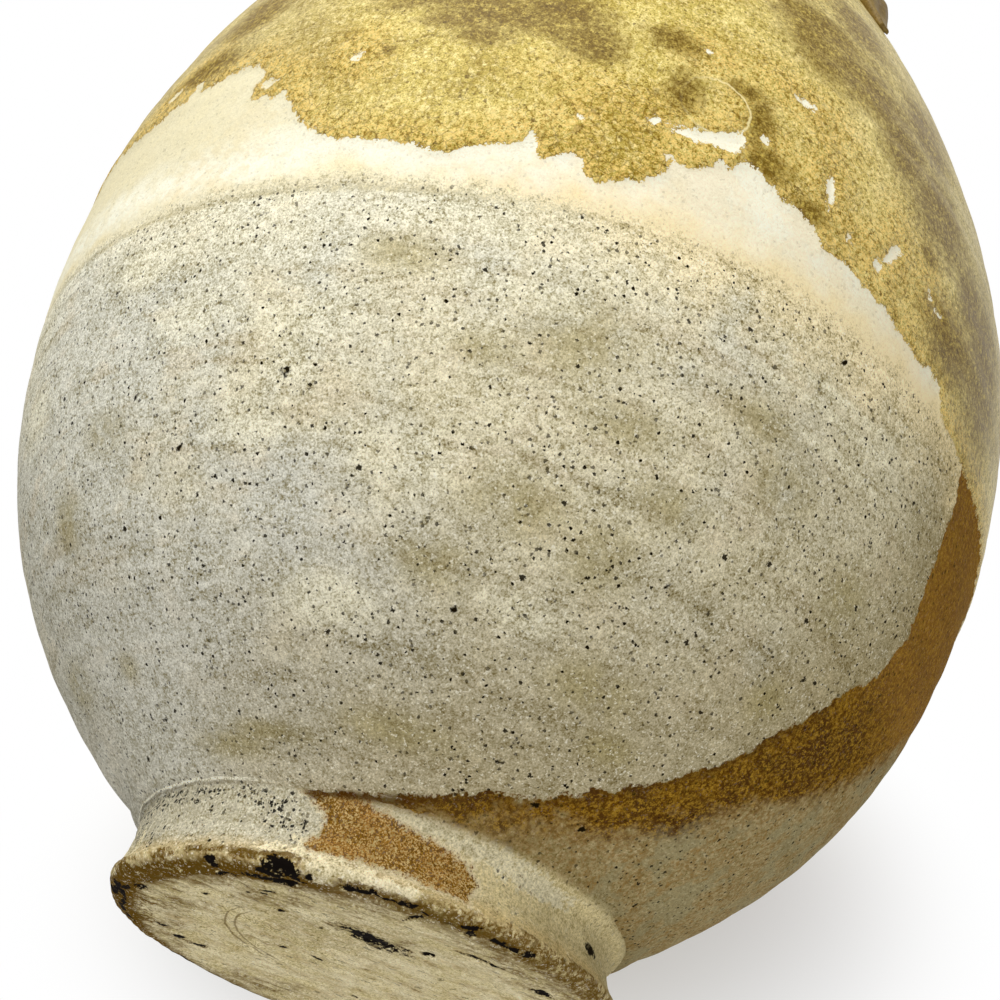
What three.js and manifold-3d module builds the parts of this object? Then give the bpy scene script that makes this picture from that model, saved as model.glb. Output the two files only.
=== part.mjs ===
// A stoneware storage jar with four cord lugs on its shoulder, in the way that a potter builds one:
// a solid foot, a body thrown in two halves and luted at the belly, a collar with a rolled lip, and
// four strap lugs pressed on to the shoulder. Millimetres, +Z up, origin at the centre of the foot's
// underside. The lugs stand on +X, +Y, -X and -Y.
import * as THREE from "three";
import { mergeVertices } from "three/addons/utils/BufferGeometryUtils.js";
import Module from "manifold-3d";

const wasm = await Module();
wasm.setup();

// Foot
const footHeight = 14.5;
const footBaseRadius = 45;
const footEdgeRadius = 47.3;
const footBevelHeight = 3;
const footWaistRadius = 44.8;
const footWaistHeight = 10.5;
const footTopRadius = 45.4;

// Body
const bellyRadius = 100;
const seamHeight = 122.8;
const floorThickness = 9;
const wallThickness = 6;
const lowerFlareLength = 36.3; // handle of the curve that leaves the foot
const lowerFlareAngle = THREE.MathUtils.degToRad(35.5); // above the horizontal
const lowerBellyLength = 61.5; // handle of the curve that arrives at the belly
const upperBellyLength = 49.7; // handle of the curve that leaves the belly
const shoulderLength = 23.8; // handle of the curve that arrives at the collar
const shoulderAngle = THREE.MathUtils.degToRad(28); // below the horizontal

// Collar and its rolled lip
const collarSeatRadius = 47;
const collarSeatHeight = 247;
const collarHeight = 21;
const collarWaistRadius = 43.5;
const collarWaistHeight = 8; // above the seat
const collarWallThickness = 6;
const lipRadius = 54;
const lipThickness = 7.5;
const mouthRadius = 41;

// Lugs
const lugCount = 4;
const lugTipDrop = 39.5; // from the collar's seat down to the tip of the pressed tail
const lugRootDrop = 4.5; // and down to the upper end
const lugTailShare = 0.4; // of the strap's length, pressed flat on the shoulder before it arches out
const lugStandOff = 11; // the strap's middle line above the shoulder, at its highest
const lugThickness = 5;
const lugTipWidth = 6;
const lugWidth = 12;
const lugRootWidth = 16;
const lugGrooveDepth = 0.9; // between the strap's two ribs
const lugGrooveWidth = 3.6;
const lugSeatGap = 0.3; // between a lug's cut underside and the shoulder

// How finely the forms are stepped
const turnSteps = 60;
const bodySteps = 11;
const wallSteps = 5;
const lugSteps = 24;
const lugSides = 12;

// Finishes
const bareClay = new THREE.MeshStandardMaterial({ color: 0xa9a395, roughness: 0.9, metalness: 0 });
const oliveGlaze = new THREE.MeshStandardMaterial({ color: 0x9a8a4c, roughness: 0.35, metalness: 0 });
const footClay = new THREE.MeshStandardMaterial({ color: 0xa79c7e, roughness: 0.95, metalness: 0 });

// A point of a profile: its radius and its height
const at = (radius, height) => new THREE.Vector2(radius, height);

// The outside of the lower half, from the foot to the seam at the belly
const lowerOutside = new THREE.CubicBezierCurve(
  at(footTopRadius, footHeight),
  at(
    footTopRadius + lowerFlareLength * Math.cos(lowerFlareAngle),
    footHeight + lowerFlareLength * Math.sin(lowerFlareAngle),
  ),
  at(bellyRadius, seamHeight - lowerBellyLength),
  at(bellyRadius, seamHeight),
);

// The outside of the upper half, from the seam to the collar's seat
const upperOutside = new THREE.CubicBezierCurve(
  at(bellyRadius, seamHeight),
  at(bellyRadius, seamHeight + upperBellyLength),
  at(
    collarSeatRadius + shoulderLength * Math.cos(shoulderAngle),
    collarSeatHeight - shoulderLength * Math.sin(shoulderAngle),
  ),
  at(collarSeatRadius, collarSeatHeight),
);

// The point at parameter t of a climbing profile, moved off it along its outward normal
function pointOff(curve, t, distance) {
  const tangent = curve.getTangent(t);
  return curve.getPoint(t).add(at(tangent.y, -tangent.x).multiplyScalar(distance));
}

function pointsOff(curve, distance) {
  return Array.from({ length: bodySteps + 1 }, (_, i) => pointOff(curve, i / bodySteps, distance));
}

// A smooth curve through a few points of a profile
const smooth = (...points) => new THREE.SplineCurve(points).getPoints(wallSteps);

// A profile turned round the Z axis
const turned = (profile) => new THREE.LatheGeometry(profile, turnSteps).rotateX(Math.PI / 2);

function footGeometry() {
  const wall = smooth(
    at(footEdgeRadius, footBevelHeight),
    at(footWaistRadius, footWaistHeight),
    at(footTopRadius, footHeight),
  );
  return turned([at(0, 0), at(footBaseRadius, 0), ...wall, at(0, footHeight)]);
}

function lowerBodyGeometry() {
  const floorTop = footHeight + floorThickness;
  const inside = pointsOff(lowerOutside, -wallThickness)
    .filter((point) => point.y > floorTop)
    .reverse();
  inside[0].setY(seamHeight);
  const floorRadius = inside.at(-1).x - wallThickness;
  return turned([
    at(0, footHeight),
    ...lowerOutside.getPoints(bodySteps),
    ...inside,
    at(floorRadius, floorTop),
    at(0, floorTop),
  ]);
}

function upperBodyGeometry() {
  const outside = upperOutside.getPoints(bodySteps);
  const inside = pointsOff(upperOutside, -wallThickness)
    .filter((point) => point.y < collarSeatHeight - wallThickness)
    .reverse();
  inside.at(-1).setY(seamHeight);
  return turned([...outside, at(collarSeatRadius - collarWallThickness, collarSeatHeight), ...inside, outside[0]]);
}

function collarGeometry() {
  const rimHeight = collarSeatHeight + collarHeight;
  const waistHeight = collarSeatHeight + collarWaistHeight;
  const lipHalf = lipThickness / 2;
  const lipCentre = at(lipRadius - lipHalf, rimHeight - lipHalf);
  const outside = smooth(
    at(collarSeatRadius, collarSeatHeight),
    at(collarWaistRadius, waistHeight),
    lipCentre.clone().add(at(0, -lipHalf)),
  );
  const lip = new THREE.Path().absarc(lipCentre.x, lipCentre.y, lipHalf, -Math.PI / 2, Math.PI / 2);
  const inside = smooth(
    at(mouthRadius, rimHeight - lipHalf / 2),
    at(collarWaistRadius - collarWallThickness, waistHeight),
    at(collarSeatRadius - collarWallThickness, collarSeatHeight),
  );
  return turned([...outside, ...lip.getPoints(wallSteps).slice(1), ...inside, outside[0]]);
}

// The parameter at which a climbing profile reaches a height
function parameterAt(curve, height) {
  let low = 0;
  let high = 1;
  while (high - low > 1e-9) {
    const middle = (low + high) / 2;
    if (curve.getPoint(middle).y < height) low = middle;
    else high = middle;
  }
  return low;
}

// How far the arch of a lug's strap has come at a share of the strap's length, from 0 to 1
const archShare = (share) => Math.max(share - lugTailShare, 0) / (1 - lugTailShare);

// The middle line of a lug's strap at a share of its length: its tail lies along the shoulder, then it
// arches out and comes back to the shoulder below the collar
function strapMiddle(share) {
  const first = parameterAt(upperOutside, collarSeatHeight - lugTipDrop);
  const last = parameterAt(upperOutside, collarSeatHeight - lugRootDrop);
  const rise = lugStandOff * Math.sin(Math.PI * archShare(share)) ** 2;
  return pointOff(upperOutside, THREE.MathUtils.lerp(first, last, share), rise);
}

// Half the strap's width at a share of its length: a narrow tip, a full strap and a spread root
function strapHalfWidth(share) {
  const fullness = Math.sin((Math.PI / 2) * Math.min(share / lugTailShare, 1));
  const tail = THREE.MathUtils.lerp(lugTipWidth, lugWidth, fullness);
  return (tail + (lugRootWidth - lugWidth) * archShare(share) ** 4) / 2;
}

// The points of the strap's section at a share of its length: a flat oval, grooved along its outside
function strapSection(share) {
  const tiny = 1e-3;
  const middle = strapMiddle(share);
  const tangent = strapMiddle(Math.min(share + tiny, 1)).sub(strapMiddle(Math.max(share - tiny, 0))).normalize();
  const halfWidth = strapHalfWidth(share);
  return Array.from({ length: lugSides }, (_, k) => {
    const angle = (2 * Math.PI * k) / lugSides;
    const across = halfWidth * Math.cos(angle);
    const groove = angle < Math.PI ? lugGrooveDepth * Math.exp(-((across / (lugGrooveWidth / 2)) ** 2)) : 0;
    const out = (lugThickness / 2) * Math.sin(angle) - groove;
    return new THREE.Vector3(middle.x + tangent.y * out, across, middle.y - tangent.x * out);
  });
}

// A closed tube through rings of as many points each
function tubeGeometry(rings) {
  const sides = rings[0].length;
  const index = [];
  for (let i = 0; i + 1 < rings.length; i++) {
    for (let k = 0; k < sides; k++) {
      const here = i * sides + k;
      const beside = i * sides + ((k + 1) % sides);
      index.push(here, here + sides, beside, beside, here + sides, beside + sides);
    }
  }
  const lastRing = (rings.length - 1) * sides;
  for (let k = 1; k + 1 < sides; k++) {
    index.push(0, k, k + 1, lastRing, lastRing + k + 1, lastRing + k);
  }
  return new THREE.BufferGeometry().setFromPoints(rings.flat()).setIndex(index);
}

// A closed mesh as a solid, for cutting
function solidOf(geometry) {
  const bare = geometry.clone().deleteAttribute("normal").deleteAttribute("uv");
  const merged = mergeVertices(bare);
  return new wasm.Manifold(
    new wasm.Mesh({
      numProp: 3,
      vertProperties: merged.attributes.position.array,
      triVerts: new Uint32Array(merged.index.array),
    }),
  );
}

function geometryOf(solid) {
  const mesh = solid.getMesh();
  return new THREE.BufferGeometry()
    .setAttribute("position", new THREE.BufferAttribute(mesh.vertProperties, 3))
    .setIndex(new THREE.BufferAttribute(mesh.triVerts, 1));
}

// A strap over +X whose ends are cut to sit on the shoulder, with the luting gap between them
function lugGeometry() {
  const rings = Array.from({ length: lugSteps + 1 }, (_, i) => strapSection(i / lugSteps));
  const shoulder = pointsOff(upperOutside, lugSeatGap);
  const core = turned([at(0, shoulder[0].y), ...shoulder, at(0, shoulder.at(-1).y)]);
  return geometryOf(solidOf(tubeGeometry(rings)).subtract(solidOf(core)));
}

function named(name, geometry, material) {
  const mesh = new THREE.Mesh(geometry, material);
  mesh.name = name;
  return mesh;
}

const jar = new THREE.Group();
jar.add(
  named("foot", footGeometry(), footClay),
  named("lower_body", lowerBodyGeometry(), bareClay),
  named("upper_body", upperBodyGeometry(), oliveGlaze),
  named("collar", collarGeometry(), oliveGlaze),
);

const lug = lugGeometry();
for (let i = 0; i < lugCount; i++) {
  const copy = named(`lug_${i + 1}`, lug, oliveGlaze);
  copy.rotation.z = (2 * Math.PI * i) / lugCount;
  jar.add(copy);
}

export default jar;
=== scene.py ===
"""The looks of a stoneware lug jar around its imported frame: two thrown halves with a ragged olive glaze
over a pale slip, bare gritty clay with a rust run, a string-cut foot, a rolled collar and strap lugs.

Lengths are millimetres until a mesh is made, angles are degrees round +Z from +X, and heights are
measured from the foot's underside. Colours are written as the bytes that the eye sees on the jar.
"""

import bpy
import numpy as np
from mathutils import Matrix, Vector


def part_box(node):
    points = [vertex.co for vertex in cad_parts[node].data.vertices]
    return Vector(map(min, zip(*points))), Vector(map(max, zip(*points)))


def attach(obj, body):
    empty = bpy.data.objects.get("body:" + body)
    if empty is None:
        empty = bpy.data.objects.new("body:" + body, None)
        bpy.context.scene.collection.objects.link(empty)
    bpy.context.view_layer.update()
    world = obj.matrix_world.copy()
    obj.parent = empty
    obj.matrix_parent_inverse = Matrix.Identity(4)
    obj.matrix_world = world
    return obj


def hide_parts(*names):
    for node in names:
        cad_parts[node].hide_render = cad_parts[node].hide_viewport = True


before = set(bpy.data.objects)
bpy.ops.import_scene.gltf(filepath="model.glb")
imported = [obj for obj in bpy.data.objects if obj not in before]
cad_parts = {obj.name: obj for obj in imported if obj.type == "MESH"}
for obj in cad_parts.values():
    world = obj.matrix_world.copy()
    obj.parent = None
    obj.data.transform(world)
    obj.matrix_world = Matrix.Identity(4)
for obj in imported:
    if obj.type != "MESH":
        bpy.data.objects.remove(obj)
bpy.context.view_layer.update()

MM = 0.001


# Camera: the photo's viewing angle, worked out from the foot's rings and the body's outline
CAMERA_PLACE = (212.3, -197.0, -72.1)
CAMERA_FORWARD = (-0.6261, 0.5838, 0.5169)
CAMERA_UP = (0.1696, -0.5451, 0.8210)
CAMERA_LENS = 57.6
CAMERA_SENSOR = 36.0


# Sizes read from the frame
FOOT_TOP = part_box("foot")[1].z / MM
FOOT_EDGE_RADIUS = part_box("foot")[1].x / MM
BELLY_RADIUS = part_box("lower_body")[1].x / MM
SEAM_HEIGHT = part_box("lower_body")[1].z / MM
COLLAR_SEAT_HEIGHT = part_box("collar")[0].z / MM
LIP_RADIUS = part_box("collar")[1].x / MM
RIM_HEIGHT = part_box("collar")[1].z / MM

# Foot
FOOT_BASE_RADIUS = 45.0
FOOT_BEVEL_HEIGHT = 3.0
FOOT_WAIST = (44.8, 10.5)
FOOT_TOP_RADIUS = 45.4
FILLET_TOP = 18.6

# Body walls
WALL = 6.0
FLOOR = 9.0
LOWER_FLARE_LENGTH = 36.3
LOWER_FLARE_ANGLE = 35.5
LOWER_BELLY_LENGTH = 61.5
UPPER_BELLY_LENGTH = 49.7
SHOULDER_LENGTH = 23.8
SHOULDER_ANGLE = 28.0
COLLAR_SEAT_RADIUS = 47.0

# Collar
COLLAR_WAIST = (43.5, 8.0)
COLLAR_WALL = 6.0
LIP_THICKNESS = 7.5
MOUTH_RADIUS = 41.0

# Lugs
LUG_COUNT = 4
LUG_LOW = COLLAR_SEAT_HEIGHT - 39.5
LUG_HIGH = COLLAR_SEAT_HEIGHT - 4.5
LUG_TAIL = 0.4
LUG_STAND_OFF = 11.0
LUG_THICKNESS = 5.0
LUG_TIP_WIDTH = 3.0
LUG_WIDTH = 12.0
LUG_ROOT_WIDTH = 16.0
LUG_GROOVE = (0.9, 1.8)
LUG_SWELL = (0.34, 0.14)
LUG_LEANS = (-2.5, 1.6, -1.2, 2.2)

# How finely the surfaces are stepped
COLUMNS = 540
COLLAR_COLUMNS = 400
FINE_STEP = 1.2
LIP_STEP = 0.8
FOOT_STEP = 0.6
HIDDEN_STEP = 3.0
COARSE_STEP = 4.0


# The glaze's lower edge, walked round the jar: degrees and heights, notches and drips included.
# The stretch from -105 to 25 degrees is the one that shows in the photo.
GLAZE_EDGE = [
    (-205, 127), (-192, 121), (-183, 124), (-174, 131), (-168, 127), (-160, 118), (-151, 113), (-143, 117),
    (-136, 126), (-128, 129), (-119, 125), (-112, 127), (-105, 125.8), (-99.5, 124.1), (-96, 124.6),
    (-92.5, 126), (-91.2, 127), (-90.9, 130.6), (-90.2, 129.3), (-89.8, 126.4), (-86.3, 127.8),
    (-83.4, 128.3), (-81.7, 128), (-80.5, 126.4), (-79.9, 123.9), (-80.8, 120), (-79.9, 117.5),
    (-78.4, 118.6), (-77.7, 116.8), (-76.2, 118.5), (-74.7, 114.9), (-73.6, 112.4), (-71.9, 109.2),
    (-70.2, 106.9), (-68, 105.9), (-62.1, 105.6), (-60, 105.1), (-57.8, 103.8), (-56.1, 104.1),
    (-54.9, 105.6), (-51.7, 107.3), (-50.2, 108.2), (-49.3, 110.7), (-48.7, 109.8), (-48.1, 106.6),
    (-46.4, 107.3), (-45.5, 108.6), (-44.4, 108.5), (-43.8, 105.1), (-42.1, 104.7), (-39.1, 107.3),
    (-37.4, 109.2), (-36.3, 111.1), (-37, 114.6), (-35.7, 113.6), (-34.4, 113.6), (-32.3, 116.2),
    (-31.5, 118.1), (-30.5, 117.3), (-29.4, 120.2), (-28.1, 119.8), (-25.1, 117.5), (-21.7, 116.2),
    (-20.4, 114.9), (-19.2, 112), (-17.9, 112.4), (-13.6, 111.1), (-9.4, 109.2), (-4.3, 106.9),
    (-2.6, 106.4), (-2, 107.9), (-0.9, 106.4), (0.4, 107.9), (1.1, 106), (1.9, 103.1), (4.2, 101.8),
    (10.2, 100.3), (25, 99.5), (36, 96), (44, 90), (50, 79), (56, 72), (61, 76), (66, 90), (75, 101),
    (84, 105), (95, 99), (101, 88), (106, 86), (111, 95), (119, 109), (130, 116), (142, 121), (155, 127),
    (168, 121), (177, 124), (186, 131), (192, 127), (205, 115),
]

# Bare chips and skips in the glaze: degrees, height, half width, half height, lean in degrees
GLAZE_SKIPS = [
    (-35.6, 120.6, 1.9, 0.45, -8), (-33.6, 121.5, 3.1, 0.95, 12), (-31.4, 122.6, 2, 1.5, 30),
    (-30.2, 124.6, 0.55, 1.5, 5), (-69, 125, 0.75, 0.95, 20), (-45.6, 116.8, 0.4, 0.45, 0),
    (-38.8, 120.6, 0.55, 0.7, 10), (-24, 141.8, 1.4, 0.6, -20), (-19.7, 124.6, 0.6, 2.2, 8),
    (-12.2, 116.4, 0.55, 0.95, 15), (-10.6, 121.4, 0.8, 1.5, -25), (-9.9, 123.8, 0.3, 0.6, 0),
    (-11.3, 119.4, 0.6, 0.3, 0), (-4, 120.7, 0.35, 0.7, 20), (-2.2, 119.3, 0.7, 0.35, -15),
    (-95.4, 131.6, 1.3, 0.55, 38), (-35.2, 141.9, 0.4, 0.35, 0), (-78.6, 121.3, 1.1, 0.6, 15),
    (-16.5, 117.5, 0.4, 0.4, 0), (-27.5, 127, 0.35, 0.3, 0), (96, 131, 1.6, 0.8, 20),
    (118, 143, 0.8, 1.2, 0), (-150, 133, 1.1, 0.7, 30), (-164, 150, 0.6, 0.9, 0), (58, 118, 0.7, 1.4, -12),
    (160, 172, 0.9, 0.6, 0), (32, 152, 0.6, 0.5, 0),
]

# How far a skip reaches beyond its oval
SKIP_SPREAD = 0.3

# Where the slip ends below the glaze: degrees and heights
SLIP_LINE = [
    (-180, 98.5), (-140, 97), (-110, 96.4), (-80, 96.9), (-60, 97.8), (-45, 98.8), (-30, 100.4),
    (-15, 100.9), (5, 101), (30, 97), (60, 92), (100, 86), (140, 96), (180, 98.5),
]

# The sharp border between the bare grey clay and the ashy brown side, closed round the far side
BROWN_SIDE = [
    (-64, 14.2), (-60, 14.6), (-50, 15.3), (-40, 17), (-35, 18), (-30, 19.3), (-25, 20.2), (-21, 21),
    (-18, 22.5), (-15, 24.5), (-12, 25.5), (-9.5, 27), (-7, 29), (-5, 31), (-3, 33), (-1, 34.5), (0, 36),
    (1.5, 38.5), (2.5, 41), (4, 44), (5.5, 47), (7, 49.5), (7.6, 52), (8.2, 54), (11, 57.5), (12.2, 60),
    (12.6, 64), (13, 68), (12.5, 72), (11.5, 78), (10.8, 84), (10.5, 90), (10.6, 96), (9, 104), (60, 108),
    (96, 104), (112, 92), (121, 78), (124, 60), (117, 46), (122, 36), (110, 28), (96, 22), (80, 12),
    (60, 6), (10, 2), (-26, 2), (-24, 5), (-34, 8), (-46, 10), (-58, 12.2),
]

# The lower border of the rust run inside the brown side, soft where the run thins out
RUST_RUN = [
    (-66, 13.6), (-50, 13.7), (-40, 14.1), (-30, 15.1), (-20, 16.8), (-10, 19.3), (-5, 21.3), (0, 24.6),
    (4, 28.3), (8, 31.5), (12, 35), (16, 38.5), (20, 42), (24, 46), (28, 53), (34, 63), (46, 73), (58, 74),
    (70, 66), (80, 60), (90, 66), (100, 74), (108, 88), (108, 130), (-66, 130),
]

# The orange patch on the foot's side
FOOT_RUST = [
    (-66, 16.2), (-64.5, 14), (-61, 13.1), (-58.2, 11.4), (-58.1, 8.7), (-60.3, 6.6), (-59, 5.2),
    (-54.5, 5.3), (-47.5, 5.4), (-40.5, 5.4), (-32.2, 4.7), (-25.8, 4.2), (-23.6, 7.6), (-26.4, 10.3),
    (-34, 11.8), (-42.9, 12.9), (-48, 13.6), (-52, 15), (-50, 16.4), (-58, 16.6),
]

# Yellow-brown stains on the bare clay: degrees, height, half width, half height
CLAY_STAINS = [
    (-102, 48.5, 5.2, 4.2), (-97.5, 28.5, 2.6, 1.6), (-48, 23, 9, 2), (-39.5, 78, 8, 6.5),
    (-47.8, 72.4, 4.5, 2.4), (-40.4, 52.7, 8, 4), (-30.3, 50, 6, 4.5), (-48.2, 43, 6, 3), (-15, 71, 6, 4),
    (-92, 59, 5, 3), (-24, 35, 7, 3), (-26, 60, 6, 3), (-130, 62, 4, 5), (-150, 34, 6, 3), (170, 52, 7, 4),
    (-168, 80, 3, 5), (-1, 63, 6, 5), (-33, 68, 7, 3), (-2, 45, 4, 3), (-17, 29.5, 5, 2), (-58, 85, 7, 3),
    (-20, 78, 7, 3), (-78.9, 18.8, 8, 1.4), (-70, 20.5, 8, 1.2), (100, 70, 8, 5), (-118, 30, 6, 3),
]

# Pale blushes on the bare clay and the pale turning streaks: degrees, height, half sizes, lean
CLAY_BLUSHES = [
    (-80, 74.8, 7, 4), (-66, 73, 7, 4), (-67, 66.6, 4, 3), (-72, 58, 6, 3.5), (-45, 82, 9, 2.5),
    (-55, 92, 9, 2.5), (-53, 55, 7, 4), (-16, 89, 20, 0.9), (-13, 85.6, 17, 0.8), (-10, 80, 12, 0.8),
    (-60, 36, 7, 3), (-36, 40, 6, 2), (-88, 86, 6, 4), (-110, 70, 7, 5), (-140, 50, 8, 4), (170, 74, 9, 3),
]

# Dark marks: degrees, height, half width, half height
DARK_MARKS = [
    (-67.5, 65, 0.8, 0.8), (-72.5, 73.6, 0.6, 0.5), (-75, 91, 0.45, 0.7), (-73.3, 91.4, 0.9, 0.3),
    (-53, 86.8, 0.5, 0.5), (-80, 54.5, 0.6, 0.5), (-62, 51, 0.4, 0.4), (-12.6, 60.6, 0.5, 0.35),
    (-22, 50.2, 0.35, 0.35), (-11, 50.3, 0.35, 0.35), (-15.6, 89.6, 0.45, 0.4), (-13.3, 95.2, 0.5, 0.3),
    (10.9, 70.4, 0.5, 0.4), (-36.5, 96, 0.4, 0.4), (-30.5, 23.4, 0.7, 0.3), (-29.9, 25.9, 0.5, 0.4),
    (-21, 20.2, 0.8, 0.35), (-10.4, 20.3, 0.6, 0.4), (30, 54.6, 0.6, 0.5), (-4.6, 68, 0.5, 0.4),
    (-86.5, 63, 0.4, 0.5), (-102, 63.5, 0.7, 0.4), (-44, 38.2, 0.5, 0.4), (4, 85, 0.5, 0.4),
    (13.6, 8.6, 2.2, 0.7), (150, 70, 0.7, 0.5), (-140, 48, 0.6, 0.6), (-122, 80, 0.5, 0.5),
    (178, 40, 0.6, 0.4),
]

# Brown spots and darker clouds in the glaze: degrees, height, half sizes
GLAZE_SPOTS = [
    (-4.9, 128.7, 2, 1.7), (-0.9, 131, 0.9, 0.8), (-65.7, 126.3, 0.9, 0.7), (-57, 138.3, 7.5, 3.6),
    (-50, 141, 7, 3.6), (-51, 135, 3.6, 2), (-39, 141, 4, 2.5), (-65, 142, 7, 3.6), (-3, 143, 8, 9),
    (5, 131, 5, 7), (-54.5, 137, 9, 3.4), (-46.5, 134.5, 5, 4), (-60, 134.5, 6, 1.8), (-20.5, 160, 9, 6),
    (-9, 150, 6, 8), (-19.5, 170, 7, 6), (-55.5, 136.5, 5, 2.6), (-45, 131.5, 2.4, 1.2), (-88, 149, 7, 6),
    (-91, 134, 8, 3), (-23, 169, 8, 8), (-15, 161, 9, 8), (-36.6, 130, 2.6, 4), (-28.6, 130.6, 2.2, 5),
    (-30.5, 136, 3.4, 1.8), (1.5, 117, 8, 6), (-57, 131, 4, 2), (-58.6, 140, 5, 3), (10, 122, 9, 14),
    (-27, 122, 4, 2.4), (-14, 184, 7, 8), (-3, 165, 6, 9), (-60, 146, 9, 3), (-21.5, 117.5, 3, 1.6),
    (95, 150, 12, 14), (150, 190, 10, 8), (-160, 165, 12, 9), (-130, 205, 8, 9), (45, 180, 10, 14),
    (70, 130, 8, 9), (-110, 150, 9, 6), (-140, 140, 7, 5), (120, 210, 9, 7), (20, 205, 8, 7),
    (-80, 200, 9, 8), (-45, 190, 8, 7),
]

# The ring-shaped scar that a neighbour left in the glaze: degrees, height, radius
SCAR = (-33.4, 129.0, 6.3)

# Black and brown stains of the base: x, y, half sizes, and the lean in degrees from x
BASE_SOOT = [
    (16.4, -39.4, 4.6, 0.8, 35), (19.6, -37.8, 1.8, 0.8, 30), (8.8, -41.6, 1.7, 0.8, 12),
    (-17.3, -38, 1.3, 0.9), (34.2, -23.3, 2, 0.6, -10), (40.7, -16.9, 0.9, 0.8), (42, -18, 1.6, 0.4, 45),
    (16.2, -13.8, 5.4, 2.6, 74), (17.4, -10, 1.5, 0.7, 60), (23.5, -7.1, 1, 0.7, 60),
    (32.3, -7.2, 0.5, 2, -10), (34.8, -3.6, 2.2, 0.4, 40), (35.8, -7, 1.2, 0.4, 70),
    (12.6, -35, 1, 0.5, 40), (10.2, -33.9, 1, 0.4, 40), (-3.8, -34.8, 0.6, 0.4), (-2, -28.9, 0.6, 0.4),
    (6.6, -26.4, 0.7, 0.4, 40), (-9, -10.6, 0.6, 0.8, 50), (-5.4, -5, 1, 0.4, 60), (6.7, -34.6, 0.5, 0.4),
    (9, -18.9, 0.5, 0.4), (-30, -22, 1.2, 0.7, 50), (-31.6, -16, 1.4, 0.8, 60), (-31, -12, 1.4, 0.7, 60),
    (36, 8.5, 1, 1.6), (-37, 22, 2.2, 3.2), (-21, 36, 2.6, 1.6), (5, 41, 2.2, 1.2), (30, 31, 1.8, 2.2),
    (-42.5, -6, 0.8, 2.4), (12, 20, 0.6, 0.5), (-14, 14, 0.5, 0.7),
]

# Marks along the foot's lower edge: degrees, mm up the bevel from the edge or, below 0, in from it on the
# base, half sizes. Black and brown ones, the rust line over the bevel, and cream-coloured ones.
EDGE_SOOT = [
    (-79.3, 0.9, 1.1, 0.9, -20), (-63.9, 1.3, 1.9, 1.5), (-61.4, 0.9, 1.3, 1.6, 30),
    (-64.5, -0.4, 1.6, 0.8), (-59.6, -0.6, 1.6, 0.4, -25), (-66.4, 0.2, 1.5, 0.4), (-57.3, 0.6, 0.5, 0.5),
    (-49.2, 0.1, 1.3, 0.5, -8), (-45.6, 0, 2.1, 0.6), (-41.2, -0.3, 2.2, 0.5), (-37.2, -0.2, 2.2, 0.6, 6),
    (-33.6, -0.3, 1.4, 0.4), (-16.5, 0.1, 1.7, 0.4), (-9.2, 0.6, 1.3, 0.4), (-12.6, 0.3, 1.6, 0.3),
    (-126.5, -1.2, 2.4, 0.8, 10), (-133.5, -1.5, 1.6, 0.6), (-119.5, -1.4, 1.8, 0.5, -10),
    (-129, 0.6, 1.6, 0.7), (150, -1, 3, 0.8), (-139, -0.8, 3.5, 0.6), (-147, -0.9, 2.4, 0.6),
    (-123, 0.2, 2.6, 0.5), (95, 0.4, 1.6, 0.6), (60, -1.2, 2, 0.6), (20, 0.2, 2.2, 0.5),
]
EDGE_RUST = [
    (-20, 0.6, 8, 1.2), (-7, 0.9, 8, 1.7), (6, 1, 8, 1.6), (-31, -0.4, 6, 0.9), (-76, 2.9, 6.2, 0.7),
    (-68, 2.6, 3.6, 0.9), (-84, 2.8, 2.8, 0.5), (-63, 3.2, 2, 0.7), (-92, 1.8, 3, 0.8),
    (-126, 0.8, 9.5, 2.4), (-112, 0.6, 5, 1.4), (-140, -1, 12, 1.8), (-128, -2.6, 7, 2.8, -12),
    (-137, -3.6, 5, 2.4), (-119, -1.4, 5, 1.6, -10), (-45, 0.6, 6, 0.6), (-160, -1.5, 12, 1.2),
    (-36, 0.2, 5, 0.6), (120, 2.6, 9, 0.6), (70, 2.2, 7, 0.8),
]
EDGE_CREAM = [
    (-59.5, 4.4, 2, 1.5), (-53.5, 4.2, 2.6, 1.3), (-49, 2.6, 4.4, 1.8), (-42, 2.2, 4.4, 1.4),
    (-55, 2.2, 3, 1.4), (-66, 4.2, 2.6, 0.9), (-37, 13.7, 7, 1.1), (-23, 13, 8, 1.3), (-10, 12, 7, 1.3),
    (-113, 4.8, 1.6, 1.2), (-108, 6, 1, 2.2), (-118, 7, 2.6, 3), (40, 2.4, 6, 1.4),
]

# Crowds of black grit on the foot's side: degrees, height, half sizes
FOOT_GRIT = [
    (-107, 13, 5, 1.5), (-99, 12.7, 3.4, 1), (-90, 12.7, 3.2, 1), (-84, 13.5, 3, 0.7),
    (-77, 13.2, 2.8, 0.9), (-70, 11.6, 4.2, 1.6), (-66, 8.8, 3.2, 1.6), (-110, 8.5, 2.2, 2.6),
    (-102, 5.4, 1.2, 1.8), (80, 9, 7, 2), (140, 11, 6, 1.6), (-140, 11.5, 5, 1.8),
]

# Olive-brown stains of the base: x, y, half sizes
BASE_OLIVE = [
    (-30, -21.5, 4.5, 2.6), (-35, -13, 4.5, 2.2), (-37, 2.5, 4, 2.8), (-33, 9.5, 6, 2),
    (22, -12.4, 1.6, 1.4), (41, -4, 5, 16), (33, -31, 9, 6), (-2, -41.5, 14, 3.2), (14, -33, 7, 4),
    (38, 16, 5, 9), (-20, -33, 9, 5), (0, 42, 22, 3), (-38, -24, 4, 8), (26, -37, 3.5, 2), (21, -36, 6, 3),
    (10, -43.5, 5, 2.4), (44.5, 8, 2.5, 14),
]

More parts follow.
